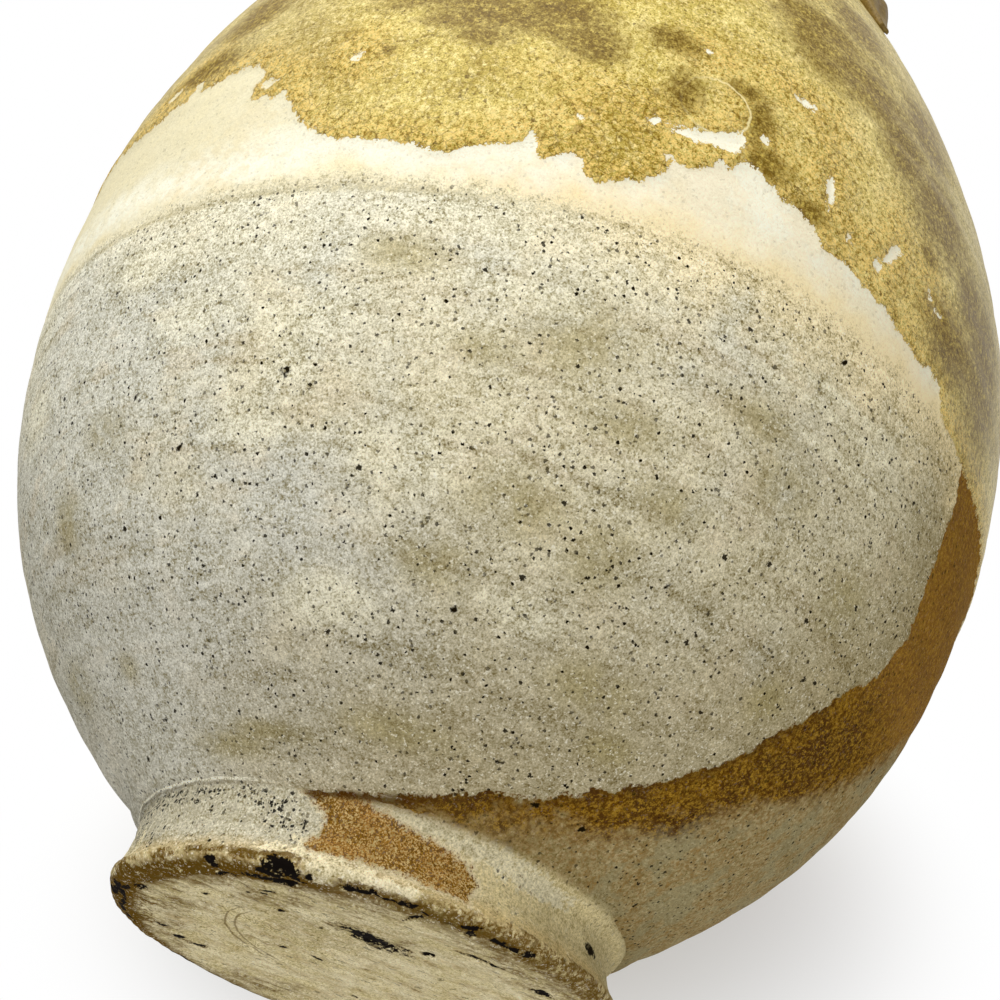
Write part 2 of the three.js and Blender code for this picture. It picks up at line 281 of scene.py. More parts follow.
# The pits and flakes of the base: x, y, half sizes, lean, depth
BASE_PITS = [
    (16.2, -13.8, 4.8, 1.7, 74, 0.25), (17.4, -10, 1.5, 0.8, 60, 0.3), (23.5, -7.1, 1.1, 0.8, 60, 0.6),
    (33.8, -6, 2.6, 2.4, 20, 0.45), (20, -39, 2.6, 1.8, 30, 0.7), (9, -41.6, 1.4, 1, 0, 0.5),
    (-17.6, -38, 1.6, 1.2, 0, 0.5), (34.2, -23.3, 1.8, 0.7, -10, 0.5), (-21, 36, 2.4, 1.4, 0, 0.5),
]

# The way the string was pulled, degrees from x, and its marks, which are waves and arcs round a centre off
# the middle: radius, first and last degrees, depth
STRING_PULL = 62.0
STRING_CENTRE = (2.7, -7.0)
STRING_WAVE = 3.4
STRING_ARCS = [
    (19.6, 175, 262, 0.2), (21.2, 168, 268, 0.26), (23.4, -12, 62, 0.18), (25, -5, 48, 0.14),
    (12.5, 60, 200, 0.07), (30, 190, 250, 0.08), (34, 20, 130, 0.08), (16, 20, 110, 0.06),
]

# The two arcs that are drawn in brown: radius, half width
BROWN_ARCS = [(19.6, 0.3), (21.4, 0.26)]


def eye(red, green, blue):
    """A colour's linear values from its display bytes: c / 12.92 in the dark, and above it
    ((c + 0.055) / 1.055) to the power 2.4, with c the byte over 255."""
    c = np.array([red, green, blue]) / 255
    linear = np.where(c < 0.04045, c / 12.92, ((c + 0.055) / 1.055) ** 2.4)
    return (*map(float, linear), 1.0)


# Clay and slip
GREY_CLAY = eye(221, 219, 204)
BUFF_CLAY = eye(229, 220, 188)
CREAM_CLAY = eye(246, 239, 208)
ROSE_CLAY = eye(214, 200, 172)
LOW_GREY = eye(211, 208, 194)
LOW_BUFF = eye(198, 188, 160)
DUN_CLAY = eye(164, 148, 104)
CLAY_SHADE = eye(102, 86, 40)
CLAY_TINT = eye(255, 250, 215)
PALE_GRIT = eye(255, 251, 232)
IRON_SPECK = eye(26, 18, 2)
SLIP_WHITE = eye(255, 252, 230)
SLIP_CREAM = eye(252, 238, 194)
SLIP_ROSE = eye(244, 226, 188)
SLIP_GREY = eye(232, 221, 180)
SLIP_PEACH = eye(252, 230, 176)
STAIN_OCHRE = eye(160, 146, 92)

# Glaze
GLAZE_GOLD = eye(226, 206, 114)
GLAZE_OLIVE = eye(186, 163, 70)
GLAZE_DEEP = eye(112, 84, 4)
GLAZE_BROWN = eye(148, 114, 14)
GLAZE_OCHRE = eye(224, 190, 104)
GLAZE_STRAW = eye(250, 234, 172)
GLAZE_UMBER = eye(80, 56, 4)
GLAZE_TINT = eye(255, 244, 140)
GLAZE_RIM = eye(166, 116, 34)
GLAZE_MIST = eye(190, 176, 138)

# Brown side and rust
ASH_BROWN = eye(194, 176, 130)
ASH_DARK = eye(138, 108, 52)
ASH_GREEN = eye(152, 146, 110)
RUST = eye(144, 102, 8)
RUST_DARK = eye(72, 40, 0)
RUST_GOLD = eye(194, 150, 44)
ORANGE_RUST = eye(190, 138, 62)
ORANGE_GOLD = eye(246, 220, 160)

# Foot and inside
FOOT_GREY = eye(216, 209, 184)
FOOT_DARK = eye(122, 114, 90)
FOOT_WARM = eye(224, 208, 158)
FOOT_SWIPE = eye(222, 213, 180)
BASE_CLAY = eye(238, 222, 170)
BASE_CREAM = eye(246, 234, 196)
BASE_TAN = eye(210, 191, 144)
BASE_OLIVE_STAIN = eye(116, 90, 36)
EDGE_TAN = eye(202, 176, 118)
EDGE_BROWN = eye(102, 74, 14)
SOOT = eye(18, 13, 10)
HOLLOW_CLAY = eye(150, 128, 98)
HOLLOW_DARK = eye(104, 80, 50)
LUG_BROWN = eye(116, 92, 46)

# Around the jar
WHITE = (1.0, 1.0, 1.0, 1.0)
GROUND_WHITE = eye(250, 249, 247)
WORLD_WHITE = (1.0, 0.99, 0.97, 1.0)


def bezier(points, count):
    """A cubic curve: the four points weighted by (1-t)^3, 3t(1-t)^2, 3t^2(1-t) and t^3."""
    t = np.linspace(0, 1, count)[:, None]
    a, b, c, d = np.array(points, float)
    return (1 - t) ** 3 * a + 3 * t * (1 - t) ** 2 * b + 3 * t**2 * (1 - t) * c + t**3 * d


def rounded(points, count):
    """A smooth curve through three points a, b and c: the parabola that has them at t = 0, k and 1, with k
    the first leg's share of the legs' length, a(t-k)(t-1)/k + bt(t-1)/(k(k-1)) + ct(t-k)/(1-k)."""
    a, b, c = np.array(points, float)
    first, second = np.linalg.norm(b - a), np.linalg.norm(c - b)
    k = first / (first + second)
    t = np.linspace(0, 1, count)[:, None]
    return a * (t - k) * (t - 1) / k + b * t * (t - 1) / (k * (k - 1)) + c * t * (t - k) / (1 - k)


def polar(length, degrees):
    """A step of a length at an angle above the outward horizontal."""
    return length * np.array([np.cos(np.radians(degrees)), np.sin(np.radians(degrees))])


FOOT_CORNER = np.array([FOOT_TOP_RADIUS, FOOT_TOP])
SEAM_CORNER = np.array([BELLY_RADIUS, SEAM_HEIGHT])
SEAT_CORNER = np.array([COLLAR_SEAT_RADIUS, COLLAR_SEAT_HEIGHT])
SEAT_INSIDE = SEAT_CORNER - (COLLAR_WALL, 0)

LOWER_OUTSIDE = bezier(
    [
        FOOT_CORNER,
        FOOT_CORNER + polar(LOWER_FLARE_LENGTH, LOWER_FLARE_ANGLE),
        SEAM_CORNER - (0, LOWER_BELLY_LENGTH),
        SEAM_CORNER,
    ],
    400,
)
UPPER_OUTSIDE = bezier(
    [
        SEAM_CORNER,
        SEAM_CORNER + (0, UPPER_BELLY_LENGTH),
        SEAT_CORNER + polar(SHOULDER_LENGTH, -SHOULDER_ANGLE),
        SEAT_CORNER,
    ],
    400,
)


def outward(points):
    """The outward normals of a profile that keeps the clay on its left: its tangent turned a quarter."""
    tangent = np.gradient(points, axis=0)
    normal = np.stack([tangent[:, 1], -tangent[:, 0]], 1)
    return normal / np.linalg.norm(normal, axis=1, keepdims=True)


def shifted(points, distance):
    """A profile moved along its outward normals."""
    return points + distance * outward(points)


def stepped(points, step):
    """A profile cut anew into equal steps of its length."""
    along = np.concatenate([[0], np.cumsum(np.linalg.norm(np.diff(points, axis=0), axis=1))])
    count = max(2, int(round(along[-1] / step)) + 1)
    places = np.linspace(0, along[-1], count)
    return np.stack([np.interp(places, along, points[:, k]) for k in range(2)], 1)


def lobes(around, height, seed, count, turns, rise, size):
    """Gentle unevenness that closes on itself: the sum of count cosines of n * around + k * height + phase,
    with whole n up to turns and k up to one wave in rise mm, times size * sqrt(2 / count)."""
    random = np.random.default_rng(seed)
    total = np.zeros(np.broadcast(around, height).shape)
    for _ in range(count):
        n = random.integers(-turns, turns + 1)
        k = random.uniform(-2 * np.pi, 2 * np.pi) / rise
        total += np.cos(np.radians(n * around) + k * height + random.uniform(0, 2 * np.pi))
    return size * total * np.sqrt(2 / count)


def smooth(value, low, high):
    """0 at low, 1 at high, and 3s^2 - 2s^3 between, with s the share of the way. With low above high it
    falls."""
    share = np.clip((value - low) / (high - low), 0, 1)
    return share * share * (3 - 2 * share)


def apart(around, other):
    """The signed angle between two directions, from -180 to 180 degrees."""
    return (around - other + 180) % 360 - 180


def depth_inside(around, height, radius, outline, reach=15.0):
    """How deep points lie inside a closed outline, in mm: the distance to its nearest side, positive
    inside and negative outside by the even-odd rule, and no more than reach. Degrees count as arcs of the
    points' own radius."""
    scale = radius * np.pi / 180
    nearest = np.full(around.shape, reach**2)
    inside = np.zeros(around.shape, bool)
    corners = np.array(outline, float)
    for (ax, ay), (bx, by) in zip(corners, np.roll(corners, -1, axis=0)):
        side_x, side_y = (bx - ax) * scale, by - ay
        from_x, from_y = (around - ax) * scale, height - ay
        share = np.clip((from_x * side_x + from_y * side_y) / (side_x**2 + side_y**2 + 1e-12), 0, 1)
        off = (from_x - share * side_x) ** 2 + (from_y - share * side_y) ** 2
        nearest = np.minimum(nearest, off)
        if ay != by:
            crossing = ax + (bx - ax) * (height - ay) / (by - ay)
            inside ^= ((ay > height) != (by > height)) & (around < crossing)
    return np.where(inside, 1, -1) * np.sqrt(nearest)


def stretch(x, y, half_x, half_y, lean=0.0):
    """A distance as a share of an oval's radius that way: 1 on the oval, which leans by some degrees."""
    turn = np.radians(lean)
    u = x * np.cos(turn) + y * np.sin(turn)
    v = y * np.cos(turn) - x * np.sin(turn)
    return np.hypot(u / half_x, v / half_y)


def outside_oval(x, y, half_x, half_y, lean):
    """About how far points lie outside an oval, in mm: its stretched radius less 1, times its short half."""
    return (stretch(x, y, half_x, half_y, lean) - 1) * min(half_x, half_y)


def strongest(x_of, y, marks):
    """The strength of the strongest of some oval marks, from 1 at a mark's middle to 0 at twice its half
    sizes. x_of gives the distance in mm from a mark's first coordinate. A fifth number is its lean."""
    found = np.zeros(y.shape)
    for first, second, *oval in marks:
        found = np.maximum(found, 1 - stretch(x_of(first), y - second, *oval) / 2)
    return found


def bell(distance, width):
    """1 at no distance, and exp(-(distance / width)^2) away from it."""
    return np.exp(-((distance / width) ** 2))


class Wall:
    """Where the points of a turned surface lie, and what the potter's and the kiln's marks do there."""

    def __init__(self, around, radius, height):
        self.around, self.radius, self.height = around, radius, height
        self.x, self.y = radius * np.cos(np.radians(around)), radius * np.sin(np.radians(around))

    def arc(self, degrees):
        """The distance round the wall from a direction, in mm."""
        return np.radians(apart(self.around, degrees)) * self.radius

    def glaze(self):
        """Depth inside the glaze's edge, less its skips."""
        depth = depth_inside(self.around, self.height, self.radius, [*GLAZE_EDGE, (205, 400), (-205, 400)])
        for degrees, height, half_x, half_y, lean in GLAZE_SKIPS:
            off = outside_oval(self.arc(degrees), self.height - height, half_x, half_y, lean)
            depth = np.minimum(depth, off - SKIP_SPREAD)
        return depth

    def slip(self):
        """Height above the slip's lower line."""
        degrees, heights = np.array(SLIP_LINE, float).T
        return self.height - np.interp(self.around, degrees, heights)

    def inside(self, outline, reach=15.0):
        """Depth inside a closed outline of degrees and heights."""
        return depth_inside(self.around, self.height, self.radius, outline, reach)

    def marks(self, marks):
        """The strength of the strongest of some marks given by degrees and heights."""
        return strongest(self.arc, self.height, marks)

    def warm(self):
        """How yellow the clay was fired, from 0 on the side at the left to 1 at the right, the shorter way
        round both sides of the jar. Near 1 it also places the painted shade on the glaze's right side."""
        return 0.5 - 0.5 * np.cos(np.radians(np.clip(np.abs(apart(self.around, -115)) * 1.45, 0, 180)))

    def scar(self):
        """The distance outside the scar's ring, negative inside it."""
        degrees, height, radius = SCAR
        return np.hypot(self.arc(degrees), self.height - height) - radius


def throwing(wall, pitch, size, seed):
    """The turning marks: a wave that climbs one pitch a turn, its strength changing over the wall."""
    phase = 2 * np.pi * (wall.height / pitch + wall.around / 360)
    drift = lobes(wall.around, wall.height, seed, 7, 3, 60, 1.4)
    strength = 0.6 + lobes(wall.around, wall.height, seed + 1, 6, 2, 40, 0.35)
    return size * strength * np.sin(phase + drift)


# Lines scored in the wall as the jar turned: height at 0 degrees, climb a degree, width and depth, and the
# directions between which a line fades in
SCORED_LINES = [
    (93, 0.02, 0.7, 0.12, -45, -25), (96.2, 0, 0.8, 0.14, -40, -60), (150.5, -0.03, 1.1, 0.14),
    (171, 0, 1.4, 0.1),
]

# The ridge that the trimming left over the foot, and the dip above it: height, width
RIDGE = (16.0, 1.1)
DIP = (19.2, 1.6)


def outside_relief(wall):
    """What stands proud of the plain turned wall, in mm: warping, turning marks, the slip's and the
    glaze's thickness with a roll along its edge, the scar, scored lines, and a ridge over the foot."""
    around, height = wall.around, wall.height
    relief = lobes(around, height, 11, 9, 4, 110, 0.28) - 0.35
    relief += throwing(wall, 8.5, 0.09, 21) + throwing(wall, 3.1, 0.025, 31)
    relief += lobes(around, height, 41, 12, 16, 16, 0.05)
    relief += 0.1 * smooth(wall.slip(), -0.4, 1.2)
    for level, climb, width, depth, *fade in SCORED_LINES:
        scored = depth * bell(height - level - climb * around, width)
        relief -= scored * smooth(around, *fade) if fade else scored
    glaze = wall.glaze()
    relief += 0.32 * smooth(glaze, -0.6, 0.9) + 0.16 * bell(glaze - 1.5, 1.4)
    relief += 0.12 * bell(wall.scar(), 0.8)
    ridge = bell(height - RIDGE[0], RIDGE[1]) - 0.8 * bell(height - DIP[0], DIP[1])
    relief += 0.42 * ridge * (0.75 + lobes(around, height, 51, 5, 6, 30, 0.25))
    relief += 0.16 * bell(wall.inside(BROWN_SIDE) - 0.4, 0.9) * smooth(height, 60, 70)
    return relief * smooth(height, FOOT_TOP - 0.1, FOOT_TOP + 0.8)


def hollow_relief(wall):
    """The potter's finger rings inside: a wave climbing 9.5 mm a turn, with some warping."""
    return throwing(wall, 9.5, 0.7, 61) + lobes(wall.around, wall.height, 71, 8, 5, 70, 0.3) - 0.6


def lip_relief(wall):
    """The collar's and the lip's warping."""
    return lobes(wall.around, wall.height, 121, 9, 6, 40, 0.3) - 0.3


def from_string(wall):
    """The distance in mm from the centre of the string's arcs, and the direction."""
    x, y = wall.x - STRING_CENTRE[0], wall.y - STRING_CENTRE[1]
    return np.hypot(x, y), np.degrees(np.arctan2(y, x))


def base_relief(wall):
    """How far the string-cut underside is sunk, below 0 as it goes into the clay: shallow waves along the
    string's arcs, scored arcs, pits and flakes, and a hollow towards the middle, so that the jar stands on
    its rim."""
    far, turned = from_string(wall)
    rise = 0.35 * smooth(np.hypot(wall.x, wall.y), 38, 26)
    rise += 0.1 + 0.08 * np.sin(far * 2 * np.pi / STRING_WAVE + lobes(turned, far, 81, 6, 3, 20, 1.5))
    for radius, first, last, depth in STRING_ARCS:
        middle, half = (first + last) / 2, (last - first) / 2
        fade = smooth(np.abs(apart(turned, middle)), half, half * 0.6)
        rise += depth * fade * (bell(far - radius, 0.42) - 0.5 * bell(far - radius - 1, 0.5))
    for x, y, half_x, half_y, lean, depth in BASE_PITS:
        rise += depth * smooth(outside_oval(wall.x - x, wall.y - y, half_x, half_y, lean), 0.5, -0.9)
    rise += 0.12 * np.abs(lobes(wall.x * 9, wall.y * 0.9, 91, 14, 9, 7, 1.0))
    return -rise


def foot_relief(wall):
    """The foot's side: waisted at the right and straight at the left, as a cosine of the direction, drawn
    in where the potter lifted the jar off, with lumps from the knife and a faint fold."""
    around, height = wall.around, wall.height
    waist = 1.1 * np.cos(np.radians(around + 135)) * smooth(height, 3.2, 8.5) * smooth(height, 14, 11.5)
    drawn_in = 3.6 * bell(apart(around, 160), 26) * smooth(height, 11, 2.5)
    lumps = lobes(around, height, 101, 12, 18, 14, 0.16) + lobes(around, height, 111, 8, 5, 40, 0.2)
    nicks = 0.1 * np.abs(lobes(around, height, 117, 12, 70, 5, 1.0))
    fold = 0.35 * bell(height - 11.5 + 0.07 * (around + 20), 1.2)
    fold = fold * smooth(around, -60, -35) * smooth(around, 60, 10)
    return waist - drawn_in + lumps - nicks + fold - 0.15


# Creases left open where the foot is luted to the wall: direction, reach in degrees, height, width, depth
CREASES = [(-105, 50, 14.2, 1.4, 0.9), (42, 30, 15.4, 1.5, 1.0)]


def fillet_relief(wall):
    """Clay smeared from the foot into the wall: the foot's relief passing into the wall's, less the
    creases."""
    share = smooth(wall.height, FOOT_WAIST[1], FILLET_TOP)
    relief = foot_relief(wall) * (1 - share) + (outside_relief(wall) + 0.06) * share
    for degrees, reach, height, width, depth in CREASES:
        relief -= depth * bell(apart(wall.around, degrees), reach) * bell(wall.height - height, width)
    return relief


def placed(name, data):
    """A new object in the scene."""
    made = bpy.data.objects.new(name, data)
    bpy.context.scene.collection.objects.link(made)
    return made


def mesh_object(name, points, faces, attributes, sharp_rows=(), columns=1):
    """A smooth-shaded mesh in the jar's finish from points in mm, with a number per point for each
    attribute. Edges along the rows in sharp_rows are sharp."""
    mesh = bpy.data.meshes.new(name)
    mesh.from_pydata((points * MM).tolist(), [], faces)
    mesh.update()
    for label, values in attributes.items():
        layer = mesh.attributes.new(label, "FLOAT", "POINT")
        layer.data.foreach_set("value", np.asarray(values, np.float32).ravel())
    mesh.shade_smooth()
    if sharp_rows:
        ends = np.zeros(len(mesh.edges) * 2, np.int32)
        mesh.edges.foreach_get("vertices", ends)
        rows = ends.reshape(-1, 2) // columns
        sharp = (rows[:, 0] == rows[:, 1]) & np.isin(rows[:, 0], sharp_rows)
        layer = mesh.attributes.new("sharp_edge", "BOOLEAN", "EDGE")
        layer.data.foreach_set("value", sharp)
    mesh.materials.append(FIRED)
    return placed(name, mesh)


def tube(rings, sides, closed):
    """The faces of a tube of rings, each joined to the next, and the last to the first if it is closed. If
    not, each end is a fan round a point of its own, and these two come after the rings' points."""
    grid = np.arange(rings * sides).reshape(rings, sides)
    beside = np.roll(grid, -1, axis=1)
    above, above_beside = np.roll(grid, -1, axis=0), np.roll(beside, -1, axis=0)
    faces = np.stack([grid, beside, above_beside, above], -1)
    if closed:
        return faces.reshape(-1, 4).tolist()
    low, high = np.full(sides, rings * sides), np.full(sides, rings * sides + 1)
    fans = [np.stack(fan, -1).tolist() for fan in ([low, beside[0], grid[0]], [grid[-1], beside[-1], high])]
    return faces[:-1].reshape(-1, 4).tolist() + fans[0] + fans[1]


# The cosine of the turn below which a profile's corner is drawn sharp
SHARP = 0.8

# What a stretch of a profile is a part of, and the relief of each part
HIDDEN, OUTSIDE, HOLLOW, BASE, FOOT_SIDE, FILLET, LIP = range(7)
RELIEFS = {
    OUTSIDE: outside_relief,
    LIP: lip_relief,
    HOLLOW: hollow_relief,
    FOOT_SIDE: foot_relief,
    FILLET: fillet_relief,
    BASE: base_relief,
}


def joined(stretches, closed):
    """A chain of (points, part) stretches as one profile: its points, their normals and parts, and the
    numbers of the corners that are drawn sharp. A point that two stretches share is the first one's."""
    rows, normals, parts, corners = [], [], [], []
    for points, part in stretches:
        first = 1 if rows and np.linalg.norm(rows[-1][-1] - points[0]) <= 1e-6 else 0
        rows.append(points[first:])
        normals.append(outward(points)[first:])
        parts.append(np.full(len(points) - first, part))
        corners.append(sum(len(r) for r in rows) - 1)
    profile, normal, part = np.concatenate(rows), np.concatenate(normals), np.concatenate(parts)
    if closed:
        profile, normal, part = profile[:-1], normal[:-1], part[:-1]
    into, out_of = profile - np.roll(profile, 1, axis=0), np.roll(profile, -1, axis=0) - profile
    straight = (into * out_of).sum(1) / (np.linalg.norm(into, axis=1) * np.linalg.norm(out_of, axis=1))
    corners = [c % len(profile) for c in corners]
    return profile, normal, part, [c for c in corners if straight[c] < SHARP]


def readings(wall, kind):
    """What the finish reads at the points of a turned piece, each with the value that the piece's ends on
    the axis get."""
    height = wall.height
    on_foot = np.isin(kind, (FOOT_SIDE, BASE, FILLET))
    up_edge = height - np.maximum(FOOT_BASE_RADIUS - wall.radius, 0) * smooth(height, 3, 1)
    found = {
        "glaze": (np.where(kind == HOLLOW, height - (COLLAR_SEAT_HEIGHT + 2), wall.glaze()), -15),
        "slip": (wall.slip(), -50),
        "brown_side": (wall.inside(BROWN_SIDE, 30), -30),
        "rust_run": (wall.inside(RUST_RUN), -15),
        "foot_rust": (wall.inside(FOOT_RUST), -15),
        "clay_stain": (wall.marks(CLAY_STAINS), 0),
        "clay_blush": (wall.marks(CLAY_BLUSHES), 0),
        "dark_mark": (wall.marks(DARK_MARKS), 0),
        "glaze_spot": (wall.marks(GLAZE_SPOTS), 0),
        "scar": (wall.scar(), 50),
        "hollow": (kind == HOLLOW, 0),
        "warm": (wall.warm(), 0),
        "base": (np.where(on_foot, FOOT_BEVEL_HEIGHT + 0.2 - up_edge, -50), 48),
        "foot": (on_foot * smooth(height, 15.4, 13.6), 1),
    }
    if on_foot.any():
        cut = on_foot * smooth(height, 2, 1)
        soot = cut * strongest(lambda x: wall.x - x, wall.y, BASE_SOOT)
        olive = strongest(lambda x: wall.x - x, wall.y, BASE_OLIVE)
        found["soot"] = (np.maximum(soot, strongest(wall.arc, up_edge, EDGE_SOOT)), 0)
        found["olive"] = (on_foot * smooth(height, 3.9, 3.1) * olive, 0)
        found["edge_rust"] = (strongest(wall.arc, up_edge, EDGE_RUST), 0)
        found["edge_cream"] = (strongest(wall.arc, up_edge, EDGE_CREAM), 0)
        found["grit"] = (wall.marks(FOOT_GRIT), 0)
        found["arcs"] = (cut * smooth(np.abs(apart(from_string(wall)[1], 215)), 52, 36), 0)
    return found


def turned_piece(name, stretches, columns, closed):
    """A turned solid. Each row of points is a profile's point carried round Z: (r cos a, r sin a, z), moved
    along the normal by its part's relief. A profile that isn't closed starts and ends on the axis, in one
    point each."""
    profile, normal, part, corners = joined(stretches, closed)
    ring = slice(None) if closed else slice(1, -1)
    around = np.linspace(-180, 180, columns, endpoint=False)[None, :]
    wall = Wall(*np.broadcast_arrays(around, profile[ring, 0][:, None], profile[ring, 1][:, None]))
    kind = np.broadcast_to(part[ring][:, None], wall.around.shape)
    relief = np.zeros(kind.shape)
    for which, make in RELIEFS.items():
        if (part == which).any():
            relief = np.where(kind == which, make(wall), relief)
    angle = np.radians(wall.around)
    out = wall.radius + relief * normal[ring, :1]
    up = wall.height + relief * normal[ring, 1:]
    points = np.stack([out * np.cos(angle), out * np.sin(angle), up], -1).reshape(-1, 3)
    if not closed:
        low, high = profile[0, 1] - relief[0].mean(), profile[-1, 1]
        points = np.concatenate([points, [[0, 0, low], [0, 0, high]]])
        corners = [c - 1 for c in corners]
    values = {}
    for label, (value, end) in readings(wall, kind).items():
        values[label] = value if closed else np.append(value, [end, end])
    return mesh_object(name, points, tube(len(relief), columns, closed), values, corners, columns)


class Signal:
    """One output of a shader tree. Arithmetic on it adds Math nodes."""

    def __init__(self, finish, socket):
        self.finish, self.socket = finish, socket

    def twin(self, output):
        """Another output of the same node."""
        return Signal(self.finish, self.socket.node.outputs[output])

    def math(self, operation, *values):
        """A Math node."""
        return self.finish.node("ShaderNodeMath", {"operation": operation}, dict(enumerate(values)))

    def __add__(self, other):
        return self.math("ADD", self, other)

    __radd__ = __add__

    def __sub__(self, other):
        return self.math("SUBTRACT", self, other)

    def __rsub__(self, other):
        return self.math("SUBTRACT", other, self)

    def __mul__(self, other):
        return self.math("MULTIPLY", self, other)

    __rmul__ = __mul__

    def __truediv__(self, other):
        return self.math("DIVIDE", self, other)

    def over(self, other):
        """The larger of two."""
        return self.math("MAXIMUM", self, other)

    def under(self, other):
        """The smaller of two."""
        return self.math("MINIMUM", self, other)

    def size(self):
        """Its distance from 0."""
        return self.math("ABSOLUTE", self)

    def swing(self, size):
        """A noise's swing round 0: (value - 0.5) times a size."""
        return self.math("MULTIPLY_ADD", self, size, -size / 2)

    def rise(self, low, high):
        """0 at low, 1 at high and smooth between. With low above high it falls."""
        inputs = {0: self, 1: low, 2: high, 3: 0.0, 4: 1.0}
        if low > high:
            inputs.update({1: high, 2: low, 3: 1.0, 4: 0.0})
        return self.finish.node("ShaderNodeMapRange", {"interpolation_type": "SMOOTHSTEP"}, inputs)


class Finish:
    """The shader tree of a material or a world. Every node but arithmetic comes from node()."""

    def __init__(self, owner):
        owner.use_nodes = True
        self.owner = owner
        self.tree = owner.node_tree
        self.tree.nodes.clear()

    def node(self, kind, settings=None, inputs=None, output=0):
        """Adds a node, makes its settings, then feeds its inputs, by name or number, with values or
        signals, and gives one of its outputs."""
        made = self.tree.nodes.new(kind)
        for label, value in (settings or {}).items():
            setattr(made, label, value)
        for label, value in (inputs or {}).items():
            if isinstance(value, Signal):
                self.tree.links.new(value.socket, made.inputs[label])
            else:
                made.inputs[label].default_value = value
        return Signal(self, made.outputs[output] if made.outputs else None)

    def vector(self, operation, inputs, output=0):
        """A Vector Math node."""
        return self.node("ShaderNodeVectorMath", {"operation": operation}, inputs, output)

    def place(self, stretch=(1, 1, 1)):
        """The point on the piece in mm, its axes stretched."""
        where = self.node("ShaderNodeTexCoord", output="Object")
        scale = tuple(s / MM for s in stretch)
        return self.vector("MULTIPLY", {0: where, 1: scale})

    def attribute(self, name):
        """One of the mesh's readings."""
        return self.node("ShaderNodeAttribute", {"attribute_name": name}, output="Fac")

    def noise(self, where, grain, detail=2.0, rough=0.5, distort=0.0):
        """Cloudy noise from about 0.2 to 0.8, with clouds about grain mm across."""
        inputs = {"Vector": where, "Scale": 1 / grain, "Detail": detail}
        inputs.update({"Roughness": rough, "Distortion": distort})
        return self.node("ShaderNodeTexNoise", {}, inputs)

    def cells(self, where, size, feature, output):
        """Cells of about a size in mm, scattered at random."""
        inputs = {"Vector": where, "Scale": 1 / size}
        return self.node("ShaderNodeTexVoronoi", {"feature": feature}, inputs, output)

    def specks(self, where, cell, radius, keep, soft=0.35, rough=0.0):
        """Specks of about a radius, in mm: one in a share keep of the cells, 1 in a speck's middle. rough
        is a signal round 0 that breaks their outline."""
        far = self.cells(where, cell, "F1", "Distance")
        chance = self.node("ShaderNodeSeparateColor", {}, {0: far.twin("Color")}, 0)
        small = (chance.rise(keep, 0.0) * 0.75 + 0.25) * (radius / cell)
        return (far / small + rough).rise(1.0 + soft, 1.0 - soft) * chance.rise(keep + 0.01, keep)

    def ragged_place(self, where, grain, reach):
        """The place moved to and fro by up to about reach mm, in clouds of a grain, so that what is drawn
        there comes out ragged."""
        push = self.vector("SUBTRACT", {0: self.noise(where, grain).twin("Color"), 1: (0.5, 0.5, 0.5)})
        return self.vector("ADD", {0: where, 1: self.scaled(push, reach * 4)})

    def grains(self, where, size):
        """Packed grains of about a size in mm, each with its own tone from 0 to 1."""
        tint = self.cells(where, size, "F1", "Color")
        return self.node("ShaderNodeSeparateColor", {}, {0: tint}, 1)

    def cracks(self, where, cell, width):
        """A net of fine lines round cells of a size in mm: 1 on a line, 0 off it."""
        far = self.cells(where, cell, "DISTANCE_TO_EDGE", "Distance")
        return far.rise(width / cell, width / cell * 0.25)

    def scaled(self, colour, level):
        """A colour or a vector times a level."""
        return self.vector("SCALE", {0: colour, "Scale": level})

    def blend(self, share, under, over, how="MIX"):
        """Two colours mixed by a share."""
        settings = {"data_type": "RGBA", "blend_type": how}
        return self.node("ShaderNodeMix", settings, {0: share, 6: under, 7: over}, 2)

    def layers(self, colour, *layers):
        """A colour with others laid over it in turn, each as its share and its colour."""
        for share, over in layers:
            colour = self.blend(share, colour, over)
        return colour

    def bump(self, height, strength):
        """A bump from a height in mm."""
        inputs = {"Height": height, "Distance": MM, "Strength": strength}
        return self.node("ShaderNodeBump", {}, inputs, "Normal")

    def seen(self):
        """1 for what the camera sees, in reflections too, and 0 for the light that falls on things."""
        path = "ShaderNodeLightPath"
        return self.node(path, output="Is Camera Ray").over(self.node(path, output="Is Glossy Ray"))

    def end(self, shader, kind="ShaderNodeOutputMaterial"):
        """Ends the tree in a shader and gives its material or world."""
        self.node(kind, {}, {"Surface": shader})
        return self.owner


